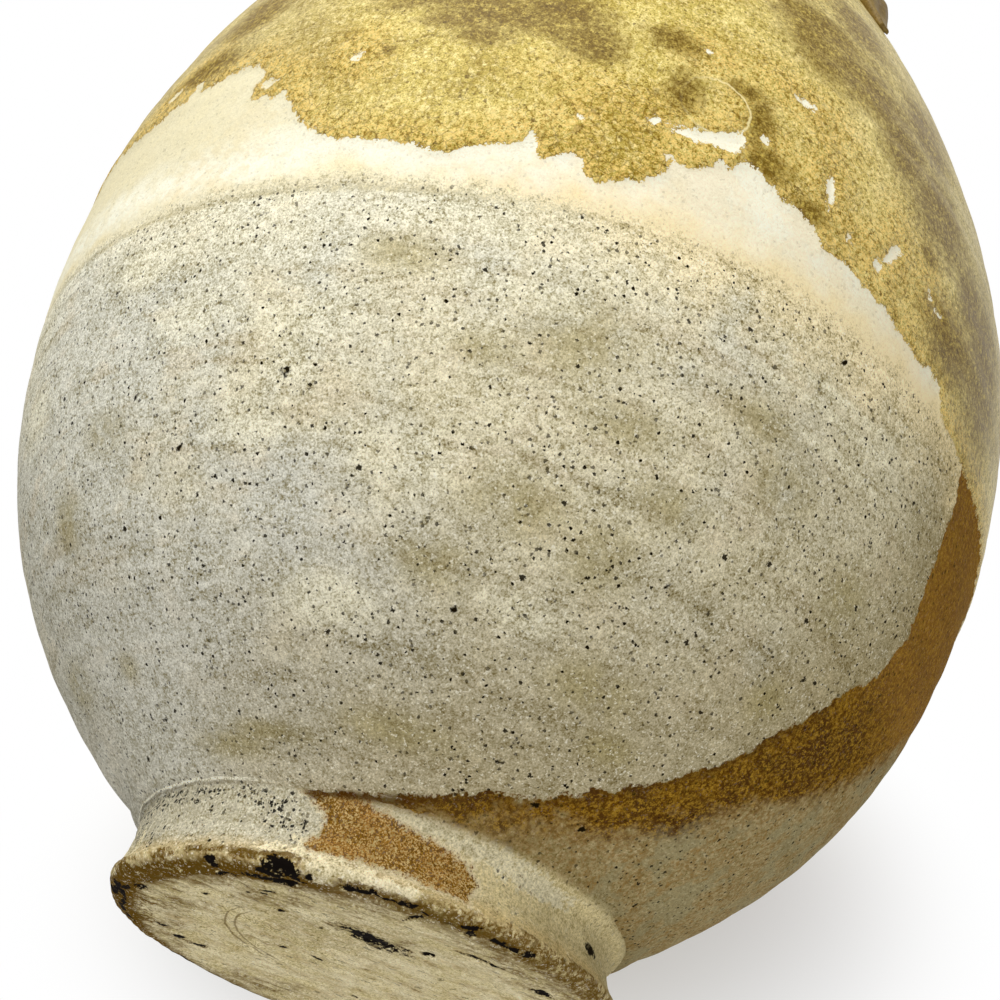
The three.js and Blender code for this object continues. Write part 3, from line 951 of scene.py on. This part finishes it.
def stoneware():
    """The jar's one fired surface. Bare clay is pale and full of crisp dark grit, drifting from grey to
    yellow. Over it lie, each behind its own mask, the brown side, the rust, the slip, the foot's colours
    and the glaze, a curly mottle of straw, gold, olive and brown."""
    f = Finish(bpy.data.materials.new("fired_stoneware"))
    where = f.place()
    level = f.place((0.2, 0.2, 2.6))
    turned = {"Rotation": (0.0, 0.0, float(np.radians(STRING_PULL))), "Scale": (2.8, 1.0, 1.0)}
    pulled = f.node("ShaderNodeMapping", {"vector_type": "TEXTURE"}, {"Vector": where, **turned})

    # Noises used in several layers
    clouds = f.noise(where, 34, 2, 0.55)
    patches = f.noise(where, 9, 2, 0.6)
    flecks = f.noise(where, 2.4, 3, 0.65)
    sand = f.noise(where, 0.9, 2, 0.7)
    dust = f.noise(where, 0.30, 1, 0.6)
    streaks = f.noise(level, 7, 3, 0.7)
    smears = f.noise(pulled, 2.6, 3, 0.65)
    salt = f.grains(where, 0.42)
    crumbs = sand * 0.5 + dust * 0.5
    chips = sand.swing(2.6) + dust.swing(1.6)
    iron = f.specks(where, 3.4, 0.46, 0.4, 0.2, chips)
    pepper = f.specks(where, 1.0, 0.28, 0.7, 0.15, chips)
    grit = f.specks(where, 0.72, 0.37, 0.95, 0.2, chips)
    ticks = f.specks(pulled, 1.3, 0.31, 0.5, 0.3, chips)

    # Bare clay
    warm = f.attribute("warm")
    height = f.node("ShaderNodeSeparateXYZ", {}, {0: where}, 2)
    brown_side = f.attribute("brown_side")
    low = f.blend((warm + clouds.swing(0.8)).rise(0.3, 1.0), LOW_GREY, LOW_BUFF)
    dun = (brown_side + patches.swing(16)).rise(-34, 0) * (0.48 + height.rise(28, 60) * 0.3)
    dun = dun.over((warm + patches.swing(0.1)).rise(0.74, 0.95) * 0.24)
    peach = (height + patches.swing(16)).rise(86, 98) * warm.rise(0.5, 0.75)
    stain = f.attribute("clay_stain").rise(0.1, 0.9) * (flecks + patches - 0.5).rise(0.22, 0.56)
    blush = (f.attribute("clay_blush") + flecks.swing(0.8)).rise(0.1, 0.8)
    colour = f.layers(
        GREY_CLAY,
        ((warm + clouds.swing(1.8) + patches.swing(0.6)).rise(0.1, 0.85), BUFF_CLAY),
        ((patches * 0.5 + streaks * 0.5).rise(0.5, 0.6) * 0.4, ROSE_CLAY),
        ((height + clouds.swing(60)).rise(72, 96) * 0.55, CREAM_CLAY),
        ((height + patches.swing(40)).rise(66, 24) * 0.75, low),
        (dun, DUN_CLAY),
        (peach * 0.5, SLIP_PEACH),
        (stain * 0.62, STAIN_OCHRE),
        (blush * 0.5, CREAM_CLAY),
    )

    # The ashy brown side and the rust run on it, with painted shade low down where it meets the foot
    ragged = flecks.swing(3.4) + sand.swing(1.8)
    ragged_side = brown_side + ragged
    side = ragged_side.rise(-0.18, 0.18)
    mixed = flecks * 0.45 + sand * 0.55
    ash = f.layers(
        ASH_BROWN,
        ((mixed * 0.6 + crumbs * 0.4).rise(0.4, 0.6), ASH_DARK),
        ((patches + flecks * 0.5).rise(0.74, 0.84) * 0.6, ASH_GREEN),
    )
    run = side * (f.attribute("rust_run") + patches.swing(12) + flecks.swing(7)).rise(-3.5, 2.5)
    rust = f.layers(
        RUST,
        ((mixed * 0.6 + patches * 0.4).rise(0.38, 0.62), RUST_DARK),
        (crumbs.rise(0.49, 0.62) * 0.8, RUST_DARK),
        (crumbs.rise(0.5, 0.38) * 0.8, RUST_GOLD),
        (ragged_side.rise(2.2, 0.3) * height.rise(60, 40) * 0.5, RUST_DARK),
        (height.rise(50, 66) * 0.3, ORANGE_RUST),
    )
    colour = f.layers(
        colour,
        (side * 0.92, ash),
        (run * 0.96, rust),
        # Painted shade, with some brown, where the wall meets the foot on the brown side
        (side * (height + patches.swing(6)).rise(22, 15) * 0.16, CLAY_SHADE),
    )

    # The foot: grey and peppered on its side, beige below, with rust, stains, a band of stain and painted
    # shade along the base's edge, and cream swipes
    on_foot = f.attribute("foot")
    edge = f.attribute("base")
    frayed = flecks.swing(6) + sand.swing(4) + smears.swing(3)
    below = (edge + frayed * 0.6 - 0.3).rise(-0.8, 0.8)
    bevel = below * (edge + frayed * 0.4).rise(4.6, 2.6)
    foot_side = f.layers(
        FOOT_GREY,
        ((warm + flecks.swing(0.9)).rise(0.4, 0.9), FOOT_WARM),
        (mixed.rise(0.48, 0.64) * (0.6 - warm * 0.3), FOOT_DARK),
        ((height + frayed * 0.5).rise(6.5, 3.5) * 0.6, EDGE_TAN),
    )
    grainy = smears * 0.3 + flecks * 0.35 + sand * 0.35
    rough = smears * 0.4 + sand * 0.6
    torn = crumbs * 0.6 + smears * 0.4
    olive = (f.attribute("olive") + grainy.swing(3)).rise(0.0, 0.8) * torn.rise(0.43, 0.56)
    ochre = bevel * crumbs.rise(0.47, 0.55) * (warm + 0.2).under(0.8)
    # rim: a brown band along the base's edge, partly stain and partly painted shade where the surface turns
    # away, strongest at the left
    rim = (edge + frayed * 0.25).rise(1.6, 3.0) * (edge + frayed * 0.7).rise(8.6, 5.0) * (1.4 - warm)
    under = f.layers(
        BASE_CLAY,
        ((patches * 0.5 + grainy * 0.5).rise(0.42, 0.56) * 0.7, BASE_CREAM),
        ((clouds * 0.25 + grainy * 0.75).rise(0.48, 0.6) * 0.7, BASE_TAN),
        (bevel * rough.rise(0.36, 0.54) * 0.7, EDGE_TAN),
        ((smears * 0.6 + dust * 0.4).rise(0.52, 0.6) * 0.45, EDGE_TAN),
        ((olive * 0.85).over(ochre), BASE_OLIVE_STAIN),
        (rim * rough.rise(0.31, 0.49), EDGE_BROWN),
    )
    cream = (f.attribute("edge_cream") + flecks.swing(1.6) + sand.swing(1.2)).rise(0.2, 0.6)
    edge_rust = (f.attribute("edge_rust") + smears.swing(1.6) + sand.swing(1.4)).rise(0.3, 0.6)
    patch = f.attribute("foot_rust") + ragged * 0.8
    patched = (patch + crumbs.swing(3)).rise(-0.5, 0.7)
    fine = dust * 0.65 + sand * 0.2 + salt * 0.15
    orange = f.layers(
        ORANGE_RUST,
        ((mixed * 0.5 + patches * 0.5).rise(0.4, 0.58), RUST),
        (fine.rise(0.5, 0.6) * 0.85, RUST_DARK),
        (fine.rise(0.49, 0.38) * 0.9, ORANGE_GOLD),
    )
    foot = f.layers(
        foot_side,
        (below, under),
        (cream * 0.85, f.blend(height.rise(5.5, 9), BASE_CREAM, FOOT_SWIPE)),
        (edge_rust * torn.rise(0.39, 0.55) * (1.0 - warm * 0.25), EDGE_BROWN),
        (patch.size().rise(1.0, 0.2) * 0.6, BASE_CREAM),
        (patched * 0.97, orange),
    )

    # Where the foot meets the wall: a tooled line at the left, and a rust-filled crease at the right
    tooled = height - 15.2 + patches.swing(1.2)
    left = warm.rise(0.34, 0.14)
    creased = (brown_side - 0.3 + flecks.swing(0.8)).size().rise(0.8, 0.2) * height.rise(13.2, 13.9)
    colour = f.layers(
        colour,
        (on_foot, foot),
        (tooled.size().rise(0.2, 0.1) * left * 0.9, PALE_GRIT),
        ((tooled + 0.45).size().rise(0.3, 0.1) * left * 0.4, CLAY_SHADE),
        (creased * height.rise(18, 15.8) * 0.8, RUST_DARK),
    )

    # Slip: white and thick by the glaze, creamy and thin towards its lower line
    slip = f.attribute("slip")
    slipped = (slip + flecks.swing(3.0) + patches.swing(3.4) + crumbs.swing(3)).rise(-2.4, 2.6)
    cover = slipped * (1 - side) * (1 - on_foot)
    thin = cover * (0.97 - (sand * 0.6 + salt * 0.4).rise(0.55, 0.85) * 0.35 * slip.rise(9, 1))
    milk = f.layers(
        SLIP_CREAM,
        ((slip + patches.swing(14)).rise(-1.0, 5.0), SLIP_WHITE),
        ((clouds + flecks.swing(0.4)).rise(0.52, 0.64) * 0.45, SLIP_ROSE),
        ((flecks * 0.6 + patches * 0.4 - warm * 0.3).rise(0.4, 0.54) * 0.45, SLIP_GREY),
        ((slip + patches.swing(10)).rise(4, 16) * warm.rise(0.5, 0.1) * 0.8, SLIP_GREY),
        (warm.rise(0.55, 0.95) * 0.2, SLIP_CREAM),
        ((slip + patches.swing(12)).rise(11, 0) * warm.rise(0.35, 0.65) * 0.65, SLIP_PEACH),
    )
    rolled_line = (slip + 1.2 + flecks.swing(2.2)).size().rise(1.3, 0.1) * warm.rise(0.9, 0.3)
    colour = f.layers(
        colour,
        (thin, milk),
        (rolled_line * mixed.rise(0.38, 0.58) * 0.5 * (1 - on_foot), STAIN_OCHRE),
    )

    # Grit shows through clay and rust, less through slip and on the base
    tone = salt.swing(0.4) + dust.swing(1.3) + sand.swing(0.9) + flecks.swing(0.7) + patches.swing(0.5)
    tone = tone - streaks.swing(0.9).over(0.0)
    shown = (1 - cover * 0.82) * (1 - run * 0.15) * (1 - on_foot * warm * 0.25)
    colour = f.scaled(colour, 1.05 + tone.over(0.0) * shown)
    shade = (tone * -1.3).over(0.0) * shown * (1 - run * 0.4)
    colour = f.blend(shade, colour, CLAY_SHADE)
    colour = f.blend(shade, colour, CLAY_TINT, "MULTIPLY")
    pale = (salt * 0.6 + dust * 0.8).rise(0.96, 1.08) * shown * (1 - (patched * on_foot).over(side) * 0.85)
    pepper_spots = (pepper * (0.6 + flecks.rise(0.4, 0.6) * 0.4)).over(iron * 0.95)
    pepper_spots = pepper_spots * (1 - cover * 0.86) * (1 - run * 0.3) * (1 - below)
    crowd = (f.attribute("grit") + patches.swing(1.4) + flecks.swing(1.6)).rise(0.15, 0.5)
    crowded = crowd * grit * on_foot * (1 - below)
    far = f.vector("DISTANCE", {0: where, 1: (*STRING_CENTRE, 0.0)}, "Value") + patches.swing(0.6)
    scored = [(far - radius).size().rise(half, 0.1) for radius, half in BROWN_ARCS]
    colour = f.layers(
        colour,
        (pale * 0.7, PALE_GRIT),
        (pepper_spots * (1 - on_foot * warm.rise(0.2, 0.6) * 0.85), IRON_SPECK),
        (scored[0].over(scored[1]) * f.attribute("arcs") * 0.6, EDGE_BROWN),
        ((ticks * below * on_foot * 0.5).over(crowded * 0.95), SOOT),
        ((f.attribute("dark_mark") + sand.swing(1.2)).rise(0.3, 0.6), IRON_SPECK),
    )

    # Glaze
    depth = f.attribute("glaze")
    beads = f.cells(where, 2.6, "F1", "Distance")
    edge_depth = depth + flecks.swing(2.0) + sand.swing(1.8) + dust.swing(0.8) + (0.45 - beads) * 0.9
    glazed = edge_depth.rise(-0.1, 0.1)
    curl = f.noise(where, 2.2, 3, 0.65, 1.6)
    swirl = curl * 0.4 + sand * 0.4 + dust * 0.2
    lay = clouds * 0.4 + patches * 0.45 + curl * 0.15
    high = (depth + patches.swing(26) + clouds.swing(40)).rise(15, 33) * (1.1 - warm * 0.6)
    blotch = patches * 0.4 + curl * 0.35 + crumbs * 0.25
    band = (depth + patches.swing(8)).rise(10.0, 0.5)
    spots = (f.attribute("glaze_spot") + flecks.swing(0.7) + curl.swing(0.7)).rise(0.0, 0.75)
    murk = f.blend(swirl.rise(0.45, 0.66), GLAZE_DEEP, GLAZE_OLIVE)
    worn = (sand * 0.6 + dust * 0.4).rise(0.35, 0.65)
    light = salt.swing(0.15) + dust.swing(0.9) + sand.swing(0.8) + curl.swing(0.5)
    gold = f.layers(
        GLAZE_GOLD,
        (lay.rise(0.46, 0.6) * 0.8, GLAZE_OLIVE),
        (lay.rise(0.48, 0.36) * 0.6, GLAZE_STRAW),
        (high * 0.75, GLAZE_OLIVE),
        (warm.rise(0.6, 0.9) * 0.25, GLAZE_STRAW),
        (swirl.rise(0.48, 0.62) * (0.6 - high * 0.3), GLAZE_STRAW),
        (swirl.rise(0.52, 0.4) * 0.5, GLAZE_OLIVE),
        (crumbs.rise(0.46, 0.38) * 0.45, GLAZE_BROWN),
        (high * blotch.rise(0.46, 0.6) * 0.7, GLAZE_DEEP),
        ((curl - 0.5).size().rise(0.03, 0.0) * sand.rise(0.4, 0.56) * 0.4, GLAZE_BROWN),
        (warm.rise(0.4, 0.1) * 0.5, GLAZE_MIST),
        # Painted shade: the glaze on the right side, away from the lamp, is darkened towards deep brown
        ((warm + patches.swing(0.1)).rise(0.84, 0.98) * depth.rise(8, 20) * 0.4, GLAZE_DEEP),
        (band * (salt * 0.3 + swirl * 0.9).rise(0.5, 0.68) * 0.8, GLAZE_OCHRE),
        (band * swirl.rise(0.5, 0.42) * 0.5, GLAZE_BROWN),
        (spots * 0.85, murk),
        ((edge_depth - 0.2).size().rise(0.4, 0.1) * 0.15, GLAZE_RIM),
        (f.attribute("lug") * (0.45 + worn * 0.5), LUG_BROWN),
    )
    gold = f.scaled(gold, 1.0 + light)
    gold = f.blend((light * -2.2).over(0.0).under(1.0), gold, GLAZE_TINT, "MULTIPLY")
    craze = f.cracks(f.ragged_place(where, 1.2, 0.25), 1.7, 0.13)
    craze = craze * (patches * 0.5 + flecks * 0.5).rise(0.42, 0.56)
    ring = (f.attribute("scar") + sand.swing(0.8) + flecks.swing(1.2)).size().rise(0.34, 0.1)
    gold = f.layers(
        gold,
        ((pepper * 0.5).over(iron * 0.6), GLAZE_UMBER),
        (craze * (0.3 + band * 0.2), GLAZE_UMBER),
        (ring * warm.rise(0.69, 0.74) * 0.8, GLAZE_STRAW),
    )
    colour = f.blend(glazed, colour, gold)

    # The inside, painted darker than the bare clay outside and streaked, and soot
    hollow = f.attribute("hollow") * (1 - glazed)
    hollow_colour = f.blend((streaks * 0.6 + patches * 0.4).rise(0.42, 0.62), HOLLOW_CLAY, HOLLOW_DARK)
    mark = f.attribute("soot")
    marked = mark.rise(0.02, 0.2)
    soot = mark + flecks.swing(1.1) + sand.swing(1.0)
    colour = f.layers(
        colour,
        (hollow, f.scaled(hollow_colour, 1 + tone * 0.6)),
        (soot.rise(0.15, 0.45) * marked * crumbs.rise(0.42, 0.54) * 0.8, EDGE_BROWN),
        (soot.rise(0.42, 0.54) * marked * (1 - salt.rise(0.93, 1.0) * 0.5), SOOT),
    )

    # Relief too fine for the mesh
    bare = (1 - cover * 0.55) * (1 - glazed)
    grain = sand * 0.20 + dust * 0.06 + salt * 0.05 - pepper * 0.08 + flecks * 0.16
    skin = (sand * 0.03 + curl * 0.05) * glazed
    step = edge_depth.rise(-0.25, 0.45) * 0.14
    inputs = {
        "Base Color": colour,
        "Roughness": 0.93 - glazed * (0.4 - salt.swing(0.2) - band * 0.1),
        "Coat Weight": glazed * (0.1 - band * 0.05 + warm.rise(0.82, 0.98) * 0.28),
        "Normal": f.bump(grain * bare + skin + step - craze * glazed * 0.02, 0.9),
        "IOR": 1.5,
        "Specular IOR Level": 0.04,
        "Coat Roughness": 0.32,
        "Coat IOR": 1.5,
    }
    return f.end(f.node("ShaderNodeBsdfPrincipled", {}, inputs))


FIRED = stoneware()


def chain(*stretches):
    """Stretches of a profile as (points, part), each of (points, step, part)."""
    return [(stepped(np.array(points, float), step), part) for points, step, part in stretches]


def foot():
    """The solid foot: string-cut base, rough bevel, waisted side, and a fillet luted up on to the wall,
    a curve that leaves the side at its waist and meets the wall at FILLET_TOP."""
    edge = (FOOT_EDGE_RADIUS, FOOT_BEVEL_HEIGHT)
    toe = bezier([(FOOT_BASE_RADIUS - 2, 0), (FOOT_BASE_RADIUS + 0.6, 0), (FOOT_EDGE_RADIUS, 1.2), edge], 30)
    side = rounded([edge, FOOT_WAIST, FOOT_CORNER], 200)
    side = side[side[:, 1] <= FOOT_WAIST[1]]
    meeting = LOWER_OUTSIDE[np.argmin(np.abs(LOWER_OUTSIDE[:, 1] - FILLET_TOP))]
    below = side[-1] + (side[-1] - side[-2]) * 0.01
    fillet = bezier([below, FOOT_CORNER - (0.2, 1.2), FOOT_CORNER + (0.7, 0.3), meeting], 60)
    stretches = chain(
        ([(0, 0), toe[0]], FOOT_STEP, BASE),
        (toe, 0.5, FOOT_SIDE),
        (side, 0.7, FOOT_SIDE),
        ([side[-1], *fillet[1:]], FOOT_STEP, FILLET),
        ([meeting, (meeting[0] - 2.5, FOOT_TOP + 1.5), (0, FOOT_TOP)], 9, HIDDEN),
    )
    return turned_piece("cut_foot", stretches, COLUMNS, False)


def lower_wall():
    """The lower half of the body with its floor."""
    floor = FOOT_TOP + FLOOR
    inside = shifted(LOWER_OUTSIDE, -WALL)
    inside = inside[inside[:, 1] > floor][::-1]
    inside[0, 1] = SEAM_HEIGHT
    stretches = chain(
        ([(0, FOOT_TOP), FOOT_CORNER], 12, HIDDEN),
        (LOWER_OUTSIDE, FINE_STEP, OUTSIDE),
        ([SEAM_CORNER, inside[0]], HIDDEN_STEP, HIDDEN),
        (inside, COARSE_STEP, HOLLOW),
        ([inside[-1], (inside[-1][0] - WALL, floor), (0, floor)], COARSE_STEP, HOLLOW),
    )
    return turned_piece("lower_wall", stretches, COLUMNS, False)


def upper_wall():
    """The upper half of the body, from the belly to the collar's seat."""
    inside = shifted(UPPER_OUTSIDE, -WALL)
    inside = inside[inside[:, 1] < COLLAR_SEAT_HEIGHT - WALL][::-1]
    inside[-1, 1] = SEAM_HEIGHT
    stretches = chain(
        (UPPER_OUTSIDE, FINE_STEP, OUTSIDE),
        ([SEAT_CORNER, SEAT_INSIDE], HIDDEN_STEP, HIDDEN),
        ([SEAT_INSIDE, *inside], COARSE_STEP, HOLLOW),
        ([inside[-1], SEAM_CORNER], HIDDEN_STEP, HIDDEN),
    )
    return turned_piece("upper_wall", stretches, COLUMNS, True)


def collar():
    """The collar with its rolled lip."""
    lip_half = LIP_THICKNESS / 2
    lip_centre = np.array([LIP_RADIUS - lip_half, RIM_HEIGHT - lip_half])
    waist = np.array([COLLAR_WAIST[0], COLLAR_SEAT_HEIGHT + COLLAR_WAIST[1]])
    inner_waist = waist - (COLLAR_WALL, 0)
    turn = np.radians(np.linspace(-90, 90, 40))
    roll = lip_centre + lip_half * np.stack([np.cos(turn), np.sin(turn)], 1)
    mouth = np.array([MOUTH_RADIUS, RIM_HEIGHT - lip_half / 2])
    crown = rounded([roll[-1], (roll[-1] + mouth) / 2 + (0, lip_half * 0.12), mouth], 20)
    stretches = chain(
        (rounded([SEAT_CORNER, waist, roll[0]], 50), LIP_STEP, LIP),
        (roll, LIP_STEP, LIP),
        (crown, LIP_STEP, LIP),
        (rounded([mouth, inner_waist, SEAT_INSIDE], 50), 1.2, LIP),
        ([SEAT_INSIDE, SEAT_CORNER], HIDDEN_STEP, HIDDEN),
    )
    return turned_piece("neck_collar", stretches, COLLAR_COLUMNS, True)


def arch(share):
    """How far a strap's arch has come, from 0 at the end of its pressed tail to 1 at its root."""
    return np.clip((share - LUG_TAIL) / (1 - LUG_TAIL), 0, 1)


def strap_middle(share):
    """The middle line of a lug's strap: the shoulder's curve between the heights of tip and root, moved out
    along its normals by the stand-off times the squared sine of pi times the arch."""
    along = np.linspace(0, 1, len(UPPER_OUTSIDE))
    first, last = np.interp([LUG_LOW, LUG_HIGH], UPPER_OUTSIDE[:, 1], along)
    place = first + (last - first) * share
    ground = np.stack([np.interp(place, along, UPPER_OUTSIDE[:, k]) for k in range(2)], 1)
    facing = outward(UPPER_OUTSIDE)
    facing = np.stack([np.interp(place, along, facing[:, k]) for k in range(2)], 1)
    return ground + LUG_STAND_OFF * np.sin(np.pi * arch(share))[:, None] ** 2 * facing


# What the finish reads all over a lug: that it is one, that it is glazed, and far from all else
LUG_READINGS = {"lug": 1.0, "glaze": 14.0, "slip": -50.0, "brown_side": -30.0, "scar": 50.0, "base": -50.0}


def lug(number):
    """A pulled strap lug: a flat oval section with a groove between two ribs, carried along the strap's
    middle line. Its tail swells where the strap lifts off and is drawn to a thin point that leans aside,
    and its root is spread and smeared."""
    share = np.linspace(0, 1, 90)
    middle = strap_middle(share)
    normal = outward(middle)
    share, spread = share[:, None], arch(share)[:, None]
    lifted = np.clip(share / LUG_TAIL, 0, 1)
    bulge = bell(share - LUG_SWELL[0], LUG_SWELL[1])
    turn = np.linspace(0, 2 * np.pi, 72, endpoint=False)[None, :]
    fullness = np.sin(np.pi / 2 * lifted)
    half_width = (LUG_TIP_WIDTH + (LUG_WIDTH - LUG_TIP_WIDTH) * fullness) / 2
    half_width = half_width + (LUG_ROOT_WIDTH - LUG_WIDTH) / 2 * spread**4
    half_thick = LUG_THICKNESS / 2 * (0.25 + 0.75 * fullness) * (1 - 0.35 * spread**8) + 0.8 * bulge
    across = half_width * np.cos(turn)
    front = np.maximum(np.sin(turn), 0)
    depth, width = LUG_GROOVE
    cut = depth * front * bell(across, width) * fullness
    out = half_thick * np.sin(turn) - cut + 1.6 * bulge
    out = out + lobes(np.degrees(turn), share * 60, 130 + number, 8, 4, 25, 0.14)
    out = out + front * lobes(np.degrees(turn), share * 60, 140 + number, 10, 7, 6, 0.07)
    across = across + LUG_LEANS[number] * (1 - lifted) ** 1.4
    radius = middle[:, :1] + normal[:, :1] * out
    height = middle[:, 1:] + normal[:, 1:] * out
    around = np.radians(360 / LUG_COUNT * number)
    x = radius * np.cos(around) - across * np.sin(around)
    y = radius * np.sin(around) + across * np.cos(around)
    points = np.stack([x, y, height], -1)
    rings, sides = height.shape
    faces = [[first, *rest[::-1]] for first, *rest in tube(rings, sides, False)]
    points = np.concatenate([points.reshape(-1, 3), points[[0, -1]].mean(axis=1)])
    # The glaze pools darker in the groove
    attributes = {"glaze_spot": np.append(0.5 + cut / depth * 0.4, [0, 0])}
    for label, value in LUG_READINGS.items():
        attributes[label] = np.full(len(points), value)
    return mesh_object(f"strap_lug_{number + 1}", points, faces, attributes)


def show(piece, slot, *nodes):
    """Puts a piece on the one body in place of the CAD nodes that it looks after."""
    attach(piece, "root")
    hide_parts(*nodes)


show(foot(), "foot_clay", "foot")
show(lower_wall(), "bare_clay", "lower_body")
show(upper_wall(), "olive_glaze", "upper_body")
show(collar(), "olive_glaze", "collar")
for number in range(LUG_COUNT):
    show(lug(number), "olive_glaze", f"lug_{number + 1}")


def camera():
    """The camera where the photo was taken from."""
    forward = Vector(CAMERA_FORWARD).normalized()
    right = forward.cross(Vector(CAMERA_UP)).normalized()
    up = right.cross(forward)
    data = bpy.data.cameras.new("photo_camera")
    data.lens, data.sensor_width = CAMERA_LENS, CAMERA_SENSOR
    data.clip_start, data.clip_end = 0.01, 20
    made = placed("photo_camera", data)
    turn = Matrix((right, up, -forward)).transposed().to_4x4()
    made.matrix_world = Matrix.Translation(Vector(CAMERA_PLACE) * MM) @ turn
    bpy.context.scene.camera = made


# The white ground that the jar lies on: it touches the foot's edge and the belly on the side away
# from the camera
GROUND_SIDE = 122.0
GROUND_HALF = 12.0
GROUND_NEAR = 122.0
GROUND_FAR = 168.0
GROUND_SHINE = 0.42


def ground():
    """A square plane through the foot's edge and the point of the lower wall that stands furthest out
    from it, at the side given by GROUND_SIDE. Its back is clear, it only catches shadows, and it passes to
    plain white between GROUND_NEAR and GROUND_FAR mm from the jar's middle."""
    toe = np.array([FOOT_EDGE_RADIUS, FOOT_BEVEL_HEIGHT])
    body = np.concatenate([LOWER_OUTSIDE, UPPER_OUTSIDE])
    legs = body - toe
    touch = legs[np.argmin(np.where(legs[:, 1] > 20, np.arctan2(legs[:, 1], legs[:, 0]), 9))]
    lean = touch / np.linalg.norm(touch)
    side = np.array([np.cos(np.radians(GROUND_SIDE)), np.sin(np.radians(GROUND_SIDE)), 0])
    rise = lean[0] * side + np.array([0, 0, lean[1]])
    level = np.cross([0, 0, 1], side)
    start = (toe[0] * side + np.array([0, 0, toe[1]])) * MM
    corners = [start + GROUND_HALF * (a * level + b * rise) for a, b in ((-1, -1), (-1, 1), (1, 1), (1, -1))]
    mesh = bpy.data.meshes.new("ground")
    mesh.from_pydata([tuple(c) for c in corners], [], [(0, 1, 2, 3)])
    made = placed("ground", mesh)
    made.visible_diffuse = False
    made.visible_shadow = False
    f = Finish(bpy.data.materials.new("pale_ground"))
    matte = f.node("ShaderNodeBsdfDiffuse", {}, {"Color": GROUND_WHITE})
    white = f.node("ShaderNodeEmission", {}, {"Color": WHITE, "Strength": 1.0})
    far = f.vector("DISTANCE", {0: f.place(), 1: (0.0, 0.0, RIM_HEIGHT / 2)}, "Value")
    shine = far.rise(GROUND_NEAR, GROUND_FAR) * (1 - GROUND_SHINE) + GROUND_SHINE
    front = f.node("ShaderNodeMixShader", {}, {0: f.seen() * shine, 1: matte, 2: white})
    clear = f.node("ShaderNodeBsdfTransparent")
    back = f.node("ShaderNodeNewGeometry", output="Backfacing")
    mesh.materials.append(f.end(f.node("ShaderNodeMixShader", {}, {0: back, 1: front, 2: clear})))


# The lamps: the direction from the jar's middle, the distance and width in metres, and the level
LAMPS = {
    "over_lamp": ((0.16, -0.70, 0.70), 3.0, 2.3, 1.10),
    "foot_lamp": ((0.50, -0.35, -0.79), 2.4, 1.7, 0.36),
    "back_lamp": ((-0.45, 0.80, 0.40), 2.4, 1.8, 0.25),
}
WORLD_LEVEL = 0.31


def lamp(name, direction, distance, width, level):
    """A soft square lamp that faces the jar's middle. level is the share of full white that it alone
    gives a surface square to it: a lamp of P watts at d metres gives P / (pi^2 d^2)."""
    data = bpy.data.lights.new(name, "AREA")
    data.shape, data.size = "SQUARE", width
    data.energy = level * np.pi**2 * distance**2
    aim = Vector(direction).normalized()
    place = Matrix.Translation(Vector((0, 0, RIM_HEIGHT * MM / 2)) + aim * distance)
    placed(name, data).matrix_world = place @ aim.to_track_quat("Z", "Y").to_matrix().to_4x4()


def lights():
    """A large lamp over the ground, weaker ones under the foot and behind, and an even pale world that is
    plain white to the camera and in reflections."""
    for name, values in LAMPS.items():
        lamp(name, *values)
    world = bpy.data.worlds.new("studio")
    bpy.context.scene.world = world
    f = Finish(world)
    soft = f.node("ShaderNodeBackground", {}, {"Color": WORLD_WHITE, "Strength": WORLD_LEVEL})
    white = f.node("ShaderNodeBackground", {}, {"Color": WHITE, "Strength": 1.0})
    f.end(f.node("ShaderNodeMixShader", {}, {0: f.seen(), 1: soft, 2: white}), "ShaderNodeOutputWorld")


camera()
ground()
lights()
bpy.context.scene.view_settings.view_transform = "Standard"
